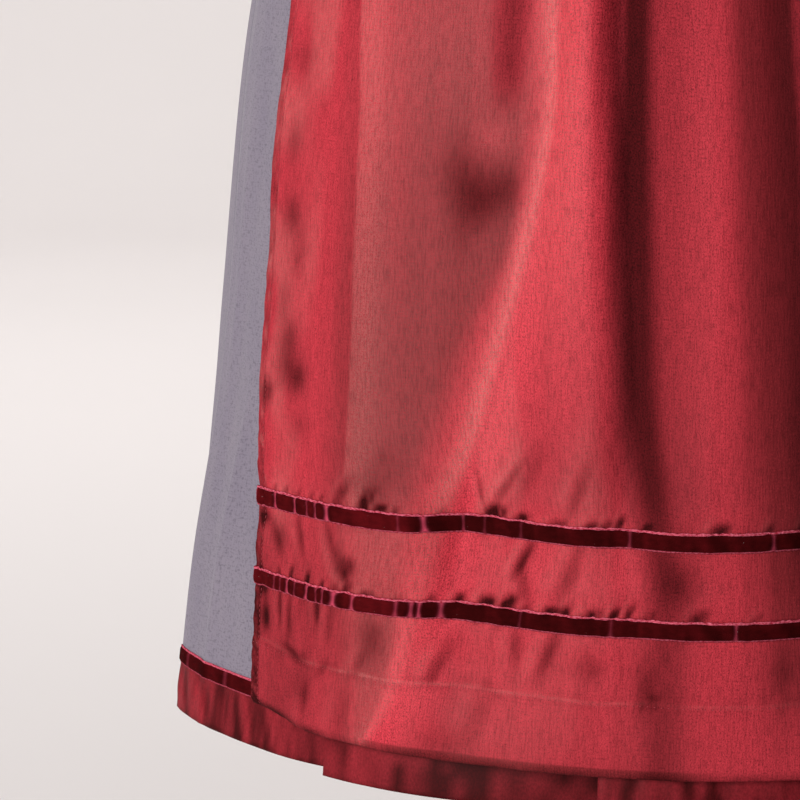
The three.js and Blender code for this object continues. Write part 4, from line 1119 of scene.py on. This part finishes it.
class DIRNDL_OT_apron_ribbons(bpy.types.Operator):
    """Makes the two velvet ribbons sewn across the apron"""
    bl_idname = "dirndl.apron_ribbons"
    bl_label = "Apron ribbons"

    def execute(self, context):
        sizes = context.scene.dirndl_sizes
        velvet = finish(context, "velvet_ribbon")
        width = sizes.ribbon_width / MM
        across = spaced([(-1, 0.0028), (0.3, 0.005), (1, 0.005)])
        rise, proud, woven = ribbon_section(width)
        places = (("lower", LOWER_RIBBON_UP, LOWER_CREASES), ("upper", UPPER_RIBBON_UP, UPPER_CREASES))
        for place, low, creases in places:
            points, _ = apron_sheet(across, low + rise, sizes)
            edge = curve(APRON_FORM, "edge", low + 5)
            radius = curve(SKIRT_FORM, "radius", low + 5) + 15
            along = np.radians(across * edge) * radius
            wander = 0.28 * noise_1d(along, 1.7, 61 + int(low)) * smooth(rise[:, None], 0.9 * width, width)
            points[..., 2] += wander + 0.12 * noise_1d(along, 9.0, 62)
            bend = np.degrees(0.5 * noise_2d(*np.meshgrid(along, rise), 9.0, 5.0, 56) / radius)
            flare = 0.7 + 1.1 * np.abs(2 * rise[:, None] / width - 1) ** 3
            points, extra = turned_under(points)
            crease, beside = (
                np.pad(crease_field(across * edge + bend, radius, creases, spread), ((0, 0), (extra, extra)),
                       constant_values=0.6) for spread in (flare, 3.0))
            # painted shade: the ribbons darker from the first fold rightwards, where they face the light more
            darker = np.pad(0.4 * smooth(across * edge, -33, -24), extra, mode="edge")
            uv = np.meshgrid(arc(points), rise)
            item = ribbon(f"apron_ribbon_{place}_velvet", points, proud, woven, crease, beside, darker,
                          velvet, uv)
            dress(item, "velvet_ribbon", f"apron_ribbon_{place}")
        return {"FINISHED"}


class DIRNDL_OT_hem_ribbons(bpy.types.Operator):
    """Makes the velvet ribbon over the join of skirt and border"""
    bl_idname = "dirndl.hem_ribbons"
    bl_label = "Hem ribbons"

    def execute(self, context):
        sizes = context.scene.dirndl_sizes
        velvet = finish(context, "velvet_ribbon")
        rise, proud, woven = ribbon_section(sizes.ribbon_width / MM)
        for half in ("front", "back"):
            points = skirt_grid(skirt_columns(half), HEM_RIBBON_UP + rise)
            along = arc(points)
            # random creases that take the painted sheen, with painted shade beside them and a little all
            # along
            crease = np.clip(noise_1d(along + 0 * rise[:, None], 3.4, 71) * 2.2 - 1.5, 0, 0.22)
            uv = np.meshgrid(along, rise)
            item = ribbon(f"hem_ribbon_{half}_velvet", points, 0.75 * proud, woven, crease, 0.5 * crease, 0.1,
                          velvet, uv)
            dress(item, "velvet_ribbon", f"hem_ribbon_{half}")
        return {"FINISHED"}


# ------------------------------------------------------------------ bodice, straps and buttons
BODICE_PANELS = {
    "bodice_front_right": (0, 31), "bodice_front_left": (-31, 0),
    "bodice_side_front_right": (31, 88), "bodice_side_front_left": (-88, -31),
    "bodice_side_back_right": (88, 152), "bodice_side_back_left": (-152, -88),
    "bodice_back": (152, 208),
}

# Mean radius and height of the bodice, for lengths along its cloth
BODICE_RADIUS = 140.0
BODICE_LENGTH = 250.0
# How far inside the bodice's seams its stitches run
BODICE_STITCHES = 3.2
STRAP_WIDTH = 43.0
STRAP_LENGTH = 260.0
STRAP_FRONT = (36, 56)
STRAP_BACK = (152, 132)
# Middle line of the right strap and the direction across it: x, y, z, across x, across y, across z
STRAP_LINE = (
    (106, -66, 322, 21, 8, 0), (98, -30, 366, 22, 2, -2), (95, 8, 379, 22, 0, -3),
    (94, 44, 364, 22, -3, -2), (95, 72, 328, 21, -8, 0),
)
BUTTON_HEIGHTS = (40, 69, 98, 127, 156, 185)
BUTTON_AZIMUTH = 4.6
BUTTON_GAP = 0.6


def mirrored(points):
    """The same grid on the other side of the dress, its columns still running the right way round."""
    return (points * [-1, 1, 1])[:, ::-1]


def away_from_front(azimuth):
    """Degrees between an azimuth and the centre front, on either side."""
    return np.abs((np.asarray(azimuth, float) + 540) % 360 - 180)


def bodice_top(azimuth):
    """Height of the upper edge: the table's line with its corners rounded off over a few degrees."""
    near = [away_from_front(azimuth + turn) for turn in (-5, -3.3, -1.7, 0, 1.7, 3.3, 5)]
    return np.mean([np.interp(away, BODICE_TOP["azimuth"], BODICE_TOP["up"]) for away in near], axis=0)


def bodice_grid(azimuth, up, out=0.0):
    """Outer points of the bodice: an oval section, deeper in front, fuller over two cups."""
    angle = np.radians(azimuth)
    width = curve(BODICE_FORM, "width", up)
    depth = np.where(np.cos(angle) > 0, curve(BODICE_FORM, "front", up), curve(BODICE_FORM, "back", up))
    cup = curve(BODICE_FORM, "cup", up) * bell(away_from_front(azimuth), CUP_AZIMUTH, CUP_SPREAD)
    swell = 1 + (cup + out) / depth
    return np.stack([width * swell * np.sin(angle), -depth * swell * np.cos(angle), up + 0 * angle], axis=-1)


def through(points, t):
    """Smooth line through points; each stretch between two of them takes the same share of t."""
    points = np.asarray(points, float)
    slope = np.gradient(points, axis=0)
    x = np.clip(t, 0, 1) * (len(points) - 1)
    i = np.minimum(x.astype(int), len(points) - 2)
    f = (x - i)[:, None]
    return ((2 * f**3 - 3 * f**2 + 1) * points[i] + (f**3 - 2 * f**2 + f) * slope[i]
            + (3 * f**2 - 2 * f**3) * points[i + 1] + (f**3 - f**2) * slope[i + 1])


class DIRNDL_OT_bodice(bpy.types.Operator):
    """Makes the bodice's seven panels in grey cotton, topstitched along their seams"""
    bl_idname = "dirndl.bodice"
    bl_label = "Bodice"

    def execute(self, context):
        sizes = context.scene.dirndl_sizes
        cotton = finish(context, "grey_cotton")
        thread = finish(context, "grey_thread")
        pitch = sizes.stitch_pitch / MM
        lines = []
        for name, (start, end) in BODICE_PANELS.items():
            azimuth = spaced([(start, 0.4), (start + 3, 1.2), (end - 3, 0.4), (end, 0.4)])
            share = spaced([(0, 0.012), (0.9, 0.006), (1, 0.006)])
            az, part = np.meshgrid(azimuth, share)
            top = bodice_top(az)
            up = 0.3 + part * (top - 0.3)
            points = bodice_grid(az, up)
            inward = np.radians(np.minimum(az - start, end - az)) * BODICE_RADIUS
            along = np.radians(az) * BODICE_RADIUS
            below = (1 - part) * top
            # seams sink in, with a ridge beside them and a groove under the stitches
            relief = -0.8 * bell(inward, 0, 1.1) + 0.25 * bell(inward, 2.0, 1.2)
            relief = relief - 0.18 * bell(inward, BODICE_STITCHES, 0.7)
            relief = relief - 0.7 * bell(below, 0, 0.9) - 0.2 * bell(below, 6.2, 0.8)
            pull = noise_2d(along + 0.5 * up, up, 46.0, 13.0, 81) * (1 - smooth(up, 30, 110))
            drag = noise_2d(along, up, 30.0, 60.0, 82) * 0.4
            pucker = noise_1d(up, 5.0, 83) * bell(inward, 4.5, 3.5) * 0.22
            points = moved(points, relief + 0.55 * pull + drag * smooth(inward, 2, 14) + pucker)
            uv = np.meshgrid(np.radians(azimuth) * BODICE_RADIUS, share * BODICE_LENGTH)
            item = cloth(f"{name}_cloth", points, cotton, 1.2, uv)
            dress(item, "grey_cotton", name)
            tall = float(np.mean(bodice_top(azimuth)))
            across = np.radians(azimuth - start) * BODICE_RADIUS
            lines += seam_stitches(points, across, share * tall, BODICE_STITCHES, pitch, "lr")
            lines += seam_stitches(points, across, share * tall, 2 * BODICE_STITCHES, pitch, "t")
        sew("bodice_stitching", lines, thread, "grey_cotton", 0.22)
        return {"FINISHED"}


class DIRNDL_OT_straps(bpy.types.Operator):
    """Makes the two shoulder straps"""
    bl_idname = "dirndl.straps"
    bl_label = "Straps"

    def execute(self, context):
        sizes = context.scene.dirndl_sizes
        cotton = finish(context, "grey_cotton")
        thread = finish(context, "grey_thread")
        t = np.linspace(0, 1, 110)
        share = spaced([(0, 0.02), (0.12, 0.05), (0.88, 0.02), (1, 0.02)])
        columns = []
        for part in share:
            ends = []
            for inner, outer in (STRAP_FRONT, STRAP_BACK):
                azimuth = np.array(inner + (outer - inner) * part)
                ends.append(bodice_grid(azimuth, bodice_top(azimuth)) + [0, 0, 0.3])
            across = 2 * part - 1
            middle = [np.array(row[:3]) + across * np.array(row[3:]) for row in STRAP_LINE]
            columns.append(through([ends[0], *middle, ends[1]], t))
        edge = np.minimum(share, 1 - share) * STRAP_WIDTH
        relief = -0.7 * bell(edge, 0, 1.0) - 0.15 * bell(edge, BODICE_STITCHES, 0.7)
        uv = np.meshgrid(share * STRAP_WIDTH, t * STRAP_LENGTH)
        right = moved(np.stack(columns, axis=1), relief + 0.3 * noise_2d(*uv, 18.0, 22.0, 91))
        lines = []
        for side, points in (("right", right), ("left", mirrored(right))):
            item = cloth(f"strap_{side}_cloth", points, cotton, 1.4, uv)
            dress(item, "grey_cotton", f"strap_{side}")
            lines += seam_stitches(points, uv[0][0], uv[1][:, 0], BODICE_STITCHES, sizes.stitch_pitch / MM,
                                   "lr")
        sew("strap_stitching", lines, thread, "grey_cotton", 0.22)
        return {"FINISHED"}


def button_frame(up):
    """Middle of a button's back and the three directions it is turned to."""
    here = bodice_grid(np.array(BUTTON_AZIMUTH), np.array(float(up)))
    rise = bodice_grid(np.array(BUTTON_AZIMUTH), np.array(up + 1.0)) - here
    around = bodice_grid(np.array(BUTTON_AZIMUTH + 1.0), np.array(float(up))) - here
    outward = np.cross(around, rise)
    outward, around = outward / np.linalg.norm(outward), around / np.linalg.norm(around)
    return here + outward * BUTTON_GAP, around, np.cross(outward, around), outward


def button_grid():
    """A turned button: a disc with a rounded rim, a dished middle and four holes.

    The rows run from the middle of the front over the rim to the middle of the back.
    """
    back = [6.5, 6.3, 5.9, 5.2, 2.5, 0.02]
    radius = np.concatenate([np.linspace(0.02, 5.0, 28), np.linspace(5.15, 6.5, 8), back])
    front = 2.5 - 0.45 * (1 - smooth(radius, 3.8, 4.6)) + 0.7 * bell(radius, 5.5, 0.75)
    height = np.where(np.arange(len(radius)) < 36, front, 0)
    height[34:] = [2.4, 2.0, 1.4, 0.8, 0.35, 0.1, 0.0, 0.0]
    turn = np.linspace(0, 2 * math.pi, 65)[:-1]
    x = radius[:, None] * np.cos(turn)
    y = radius[:, None] * np.sin(turn)
    z = height[:, None] + 0 * x
    for hole_x in (-1.25, 1.25):
        for hole_y in (-1.25, 1.25):
            away = np.hypot(x - hole_x, y - hole_y)
            z = z - 1.5 * (1 - smooth(away, 0.5, 0.78)) * (np.arange(len(radius)) < 31)[:, None]
    return np.stack([x, y, z], axis=-1)


class DIRNDL_OT_buttons(bpy.types.Operator):
    """Makes the six buttons, sewn on through four holes"""
    bl_idname = "dirndl.buttons"
    bl_label = "Buttons"

    def execute(self, context):
        resin = finish(context, "button_resin")
        thread = finish(context, "grey_thread")
        local = button_grid()
        rows, columns = local.shape[:2]
        faces = grid_faces(rows, columns, round_columns=True)[:, ::-1]
        starts, ends, ups = [], [], []
        for i, up in enumerate(BUTTON_HEIGHTS):
            middle, around, rise, outward = button_frame(up)
            points = middle + local @ np.array([around, rise, outward])
            item = mesh_object(f"button_{i + 1}_resin", points.reshape(-1, 3) * MM, faces, resin)
            dress(item, "button", f"button_{i + 1}")
            for k in (-1.25, -0.95, 0.95, 1.25):
                starts.append(middle + around * -1.35 + rise * k + outward * 2.05)
                ends.append(middle + around * 1.35 + rise * k + outward * 2.05)
                ups.append(outward)
            for k in range(9):
                for side in (-1, 1):
                    at = middle - outward * (BUTTON_GAP - 0.12) + rise * (k - 4) * 0.42
                    at = at + around * side * (6.9 + 0.001 * k)
                    starts.append(at - around * 1.1)
                    ends.append(at + around * 1.1)
                    ups.append(outward)
        dress(stitches("button_thread", starts, ends, ups, thread, 0.24, 0.15), "grey_cotton")
        return {"FINISHED"}


# ------------------------------------------------------------------ waistband, ties and bow
BAND_FOOT = 0.3
BAND_HEIGHT = 30.0
BAND_WALL = 2.2
BAND_GAP = 1.0
BAND_END = 74.0
TIE_WALL = 1.4
TIE_END = 174.0
# Millimetres of a degree of the waist, and where the stitches run inside a band's edges
WAIST_DEGREE = 2.15
BAND_STITCHES = 2.6
# Half sizes of the knot, and how much weft and painted sheen the cloth of the band and bow shows
KNOT = (10.0, 7.0, 14.0)
PLAIN = {"flank": 0.3, "bloom": 0.05}
# Middle line of the bow's right loop from the knot and back, and its width
LOOP_LINE = (
    (12, 7, 3, 15), (38, 15, 6, 27), (70, 20, 4, 34), (92, 17, -1, 35),
    (96, 9, -4, 35), (74, 5, -4, 33), (40, 4, -1, 24), (12, 3, 0, 15),
)
LOOP_LENGTH = 210.0
TAIL_WIDTH = 34.0
TAIL_LENGTH = 240.0
TAIL_TOP = 693.0
TAIL_END = 455.0
# How far a tail's middle lies beside the centre back at its end and at the knot
TAIL_LOW = 30.0
TAIL_HIGH = 9.5
TAIL_SLANT = 22.0
TAIL_OUT = 5.0


def knot_middle():
    """Middle of the knot's foot, on the outside of the ties at the centre back."""
    out = BAND_GAP + TIE_WALL + 0.3
    return bodice_grid(np.array(180.0), np.array(BAND_FOOT + BAND_HEIGHT / 2), out)


class DIRNDL_OT_waistband(bpy.types.Operator):
    """Makes the apron's waistband and its two ties"""
    bl_idname = "dirndl.waistband"
    bl_label = "Waistband and ties"

    def execute(self, context):
        sizes = context.scene.dirndl_sizes
        taffeta = finish(context, "shot_taffeta")
        thread = finish(context, "red_thread")
        rise = spaced([(0, 0.6), (3, 1.6), (BAND_HEIGHT - 3, 0.6), (BAND_HEIGHT, 0.6)])
        edge = np.minimum(rise, BAND_HEIGHT - rise)
        lines = []
        for name, start, end, wall, length in (
                ("apron_waistband", -BAND_END, BAND_END, BAND_WALL, 0.345),
                ("apron_tie_right", BAND_END + 0.2, TIE_END, TIE_WALL, 0.217),
                ("apron_tie_left", -TIE_END, -BAND_END - 0.2, TIE_WALL, 0.217)):
            azimuth = np.arange(start, end + 0.01, (end - start) / round((end - start) / 0.8))
            az, up = np.meshgrid(azimuth, rise + BAND_FOOT)
            points = bodice_grid(az, up, BAND_GAP + wall)
            along = az * WAIST_DEGREE
            relief = -0.5 * bell(edge, 0, 0.8)[:, None] - 0.15 * bell(edge, BAND_STITCHES, 0.7)[:, None]
            relief = relief + 0.2 * noise_2d(along, up, 14.0, 22.0, 101)
            if wall == TIE_WALL:
                knotted = smooth(np.abs(az), 130, TIE_END)
                relief = relief + 0.55 * knotted * noise_2d(along, up + 0.08 * along, 60.0, 4.5, 102)
            points = moved(points, relief)
            uv = np.meshgrid(azimuth * WAIST_DEGREE, rise)
            item = cloth(f"{name}_taffeta", points, taffeta, wall - 0.2, uv, hollow=0.05, **PLAIN)
            dress(item, "red_taffeta", name)
            lines += seam_stitches(points, azimuth, rise, BAND_STITCHES, sizes.stitch_pitch / MM, "bt")
        sew("waistband_stitching", lines, thread, "red_taffeta")
        return {"FINISHED"}


class DIRNDL_OT_bow(bpy.types.Operator):
    """Makes the bow at the back: its knot, two loops and two tails"""
    bl_idname = "dirndl.bow"
    bl_label = "Bow"

    def execute(self, context):
        taffeta = finish(context, "shot_taffeta")
        middle = knot_middle()

        polar = np.linspace(-math.pi / 2 + 0.02, math.pi / 2 - 0.02, 46)[:, None]
        turn = np.linspace(0, 2 * math.pi, 97)[None]
        swell = 1 + 0.05 * np.cos(5 * turn + 2.2 * polar) + 0.03 * np.cos(11 * turn - 3 * polar)
        x = KNOT[0] * np.cos(polar) * np.cos(turn) * swell
        y = KNOT[1] * np.cos(polar) * np.sin(turn) * swell + KNOT[1]
        z = KNOT[2] * np.sin(polar) + 0 * turn
        knot = middle + np.stack([x, y, z], axis=-1)
        uv = np.meshgrid(turn[0] * 8, polar[:, 0] * 14)
        item = cloth("bow_knot_taffeta", knot, taffeta, 0, uv, hollow=0.1, **PLAIN)
        dress(item, "red_taffeta", "bow_knot")

        t = np.linspace(0, 1, 100)
        share = np.linspace(-0.5, 0.5, 27)
        line = through(LOOP_LINE, t)
        loop = middle + line[:, None, :3] + np.array([0, 0, 1.0]) * (share[None, :, None] * line[:, None, 3:])
        length = arc(line[None, :, :3])
        near = 1 - smooth(np.minimum(length, length[-1] - length), 0, 55)
        folds = np.cos(share[None] * 17 + 0.6) * 1.7 + np.cos(share[None] * 31 + 2) * 0.6
        uv = np.meshgrid(share * TAIL_WIDTH, t * LOOP_LENGTH)
        loop = moved(loop, near[:, None] * folds + 0.5 * noise_2d(*uv, 12.0, 30.0, 111))
        # painted shade in the loops' folds near the knot
        hollow = 0.35 * near[:, None] * (0.5 - 0.5 * np.cos(share[None] * 17 + 0.6))
        for side, points in (("right", loop), ("left", mirrored(loop))):
            item = cloth(f"bow_loop_{side}_taffeta", points, taffeta, 0.9, uv, hollow=hollow, **PLAIN)
            dress(item, "red_taffeta", f"bow_loop_{side}")

        t = np.linspace(0, 1, 110)[:, None]
        share = np.linspace(-0.5, 0.5, 31)[None]
        end = TAIL_END + TAIL_SLANT * share
        up = end + (TAIL_TOP - end) * t
        radius = curve(SKIRT_FORM, "radius", up)
        width = TAIL_WIDTH * (1 - 0.5 * t * t)
        angle = math.pi + (share * width - TAIL_LOW - (TAIL_HIGH - TAIL_LOW) * t) / radius
        uv = np.meshgrid(share[0] * TAIL_WIDTH, t[:, 0] * TAIL_LENGTH)
        fold = 1.5 * np.cos(share * 15 + 1.2 + t) * smooth(t, 0.25, 1) + 0.9 * np.sin(t * 9 + share * 3)
        fold = fold + 0.4 * noise_2d(*uv, 10.0, 36.0, 112)
        r = radius + TAIL_OUT + 1 + fold
        depth = r * curve(SKIRT_FORM, "aspect", up)
        tail = np.stack([r * np.sin(angle), -depth * np.cos(angle), up - SKIRT_LENGTH], axis=-1)
        for side, points in (("right", tail), ("left", mirrored(tail))):
            # painted shade in the tails' folds
            hollow = 0.3 * smooth(-fold, 0, 1.8)
            hollow = hollow if side == "right" else hollow[:, ::-1]
            item = cloth(f"bow_tail_{side}_taffeta", points, taffeta, 0.9, uv, hollow=hollow, **PLAIN)
            dress(item, "red_taffeta", f"bow_tail_{side}")
        return {"FINISHED"}


# ------------------------------------------------------------------ stage and camera
CAMERA_PLACE = (-0.162, -1.6, -0.240)
CAMERA_TILT = 0.185
FOCAL_PIXELS = 2750.0
IMAGE_PIXELS = 800.0
FLOOR_LEVEL = -1.05


class DIRNDL_OT_stage(bpy.types.Operator):
    """Makes the camera, the lights and the plain floor that sweeps up behind"""
    bl_idname = "dirndl.stage"
    bl_label = "Stage"

    def execute(self, context):
        scene = context.scene
        camera = bpy.data.cameras.new("camera")
        camera.sensor_width = 36.0
        camera.lens = FOCAL_PIXELS / IMAGE_PIXELS * camera.sensor_width
        camera.clip_end = 50
        view = bpy.data.objects.new("camera", camera)
        view.location = CAMERA_PLACE
        view.rotation_euler = (math.pi / 2 - CAMERA_TILT, 0, 0)
        scene.collection.objects.link(view)
        scene.camera = view
        scene.view_settings.view_transform = "Standard"

        t = np.linspace(0, 1, 60)
        bend = 1.6
        far = 6.4
        turn = np.clip((t - 0.4) / 0.3, 0, 1) * math.pi / 2
        y = np.where(t < 0.4, -5 + (far - bend + 5) * t / 0.4, far - bend + bend * np.sin(turn))
        z = np.where(t < 0.4, 0, bend * (1 - np.cos(turn)) + np.clip((t - 0.7) / 0.3, 0, 1) * 4) + FLOOR_LEVEL
        x = np.linspace(-6, 6, 9)
        points = np.stack(np.broadcast_arrays(x, y[:, None], z[:, None]), axis=-1)
        sweep = mesh_object("backdrop", points.reshape(-1, 3), grid_faces(60, 9),
                            finish(context, "backdrop_paint"))

        def softbox(name, place, aim, size, power, colour):
            light = bpy.data.lights.new(name, "AREA")
            light.shape = "RECTANGLE"
            light.size, light.size_y = size
            light.energy = power
            light.color = colour
            item = bpy.data.objects.new(name, light)
            item.location = place
            direction = np.array(aim) - np.array(place)
            yaw = math.atan2(direction[0], -direction[1])
            pitch = math.atan2(math.hypot(direction[0], direction[1]), -direction[2])
            item.rotation_euler = (pitch, 0, yaw + math.pi)
            scene.collection.objects.link(item)

        softbox("window", (-1.9, -2.3, 0.35), (0, -0.1, -0.45), (1.3, 1.8), 96, (1.0, 0.97, 0.95))
        softbox("backdrop_light", (-0.9, 2.95, 2.6), (-0.7, 4.6, -1.05), (4.5, 4.5), 169, (1.0, 0.98, 0.97))
        world = bpy.data.worlds.new("room")
        world.use_nodes = True
        world.node_tree.nodes["Background"].inputs["Color"].default_value = (1.0, 0.975, 0.96, 1)
        world.node_tree.nodes["Background"].inputs["Strength"].default_value = 0.12
        scene.world = world
        return {"FINISHED"}


class DIRNDL_PT_panel(bpy.types.Panel):
    """Lists the sizes, the colours and the pieces"""
    bl_label = "Dirndl"
    bl_idname = "DIRNDL_PT_panel"
    bl_space_type = "VIEW_3D"
    bl_region_type = "UI"
    bl_category = "Dirndl"

    def draw(self, context):
        for group in (context.scene.dirndl_sizes, context.scene.dirndl_colours):
            column = self.layout.column(align=True)
            for key in type(group).__annotations__:
                column.prop(group, key)
        for operator in PIECES:
            self.layout.operator(operator.bl_idname)


PIECES = (DIRNDL_OT_stage, DIRNDL_OT_skirt, DIRNDL_OT_hem_border, DIRNDL_OT_hem_ribbons, DIRNDL_OT_apron,
          DIRNDL_OT_apron_ribbons, DIRNDL_OT_waistband, DIRNDL_OT_bow, DIRNDL_OT_bodice, DIRNDL_OT_straps,
          DIRNDL_OT_buttons)
CLASSES = (DirndlSizes, DirndlColours, *PIECES, DIRNDL_PT_panel)


def register():
    """Adds the panel, its settings and the operators to Blender."""
    for item in CLASSES:
        bpy.utils.register_class(item)
    bpy.types.Scene.dirndl_sizes = PointerProperty(type=DirndlSizes)
    bpy.types.Scene.dirndl_colours = PointerProperty(type=DirndlColours)


def unregister():
    """Takes away what register adds."""
    del bpy.types.Scene.dirndl_colours
    del bpy.types.Scene.dirndl_sizes
    for item in reversed(CLASSES):
        bpy.utils.unregister_class(item)


def main():
    """Registers the add-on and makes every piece."""
    register()
    for operator in PIECES:
        group, name = operator.bl_idname.split(".")
        getattr(getattr(bpy.ops, group), name)()
    bpy.context.view_layer.update()


if __name__ == "__main__":
    main()
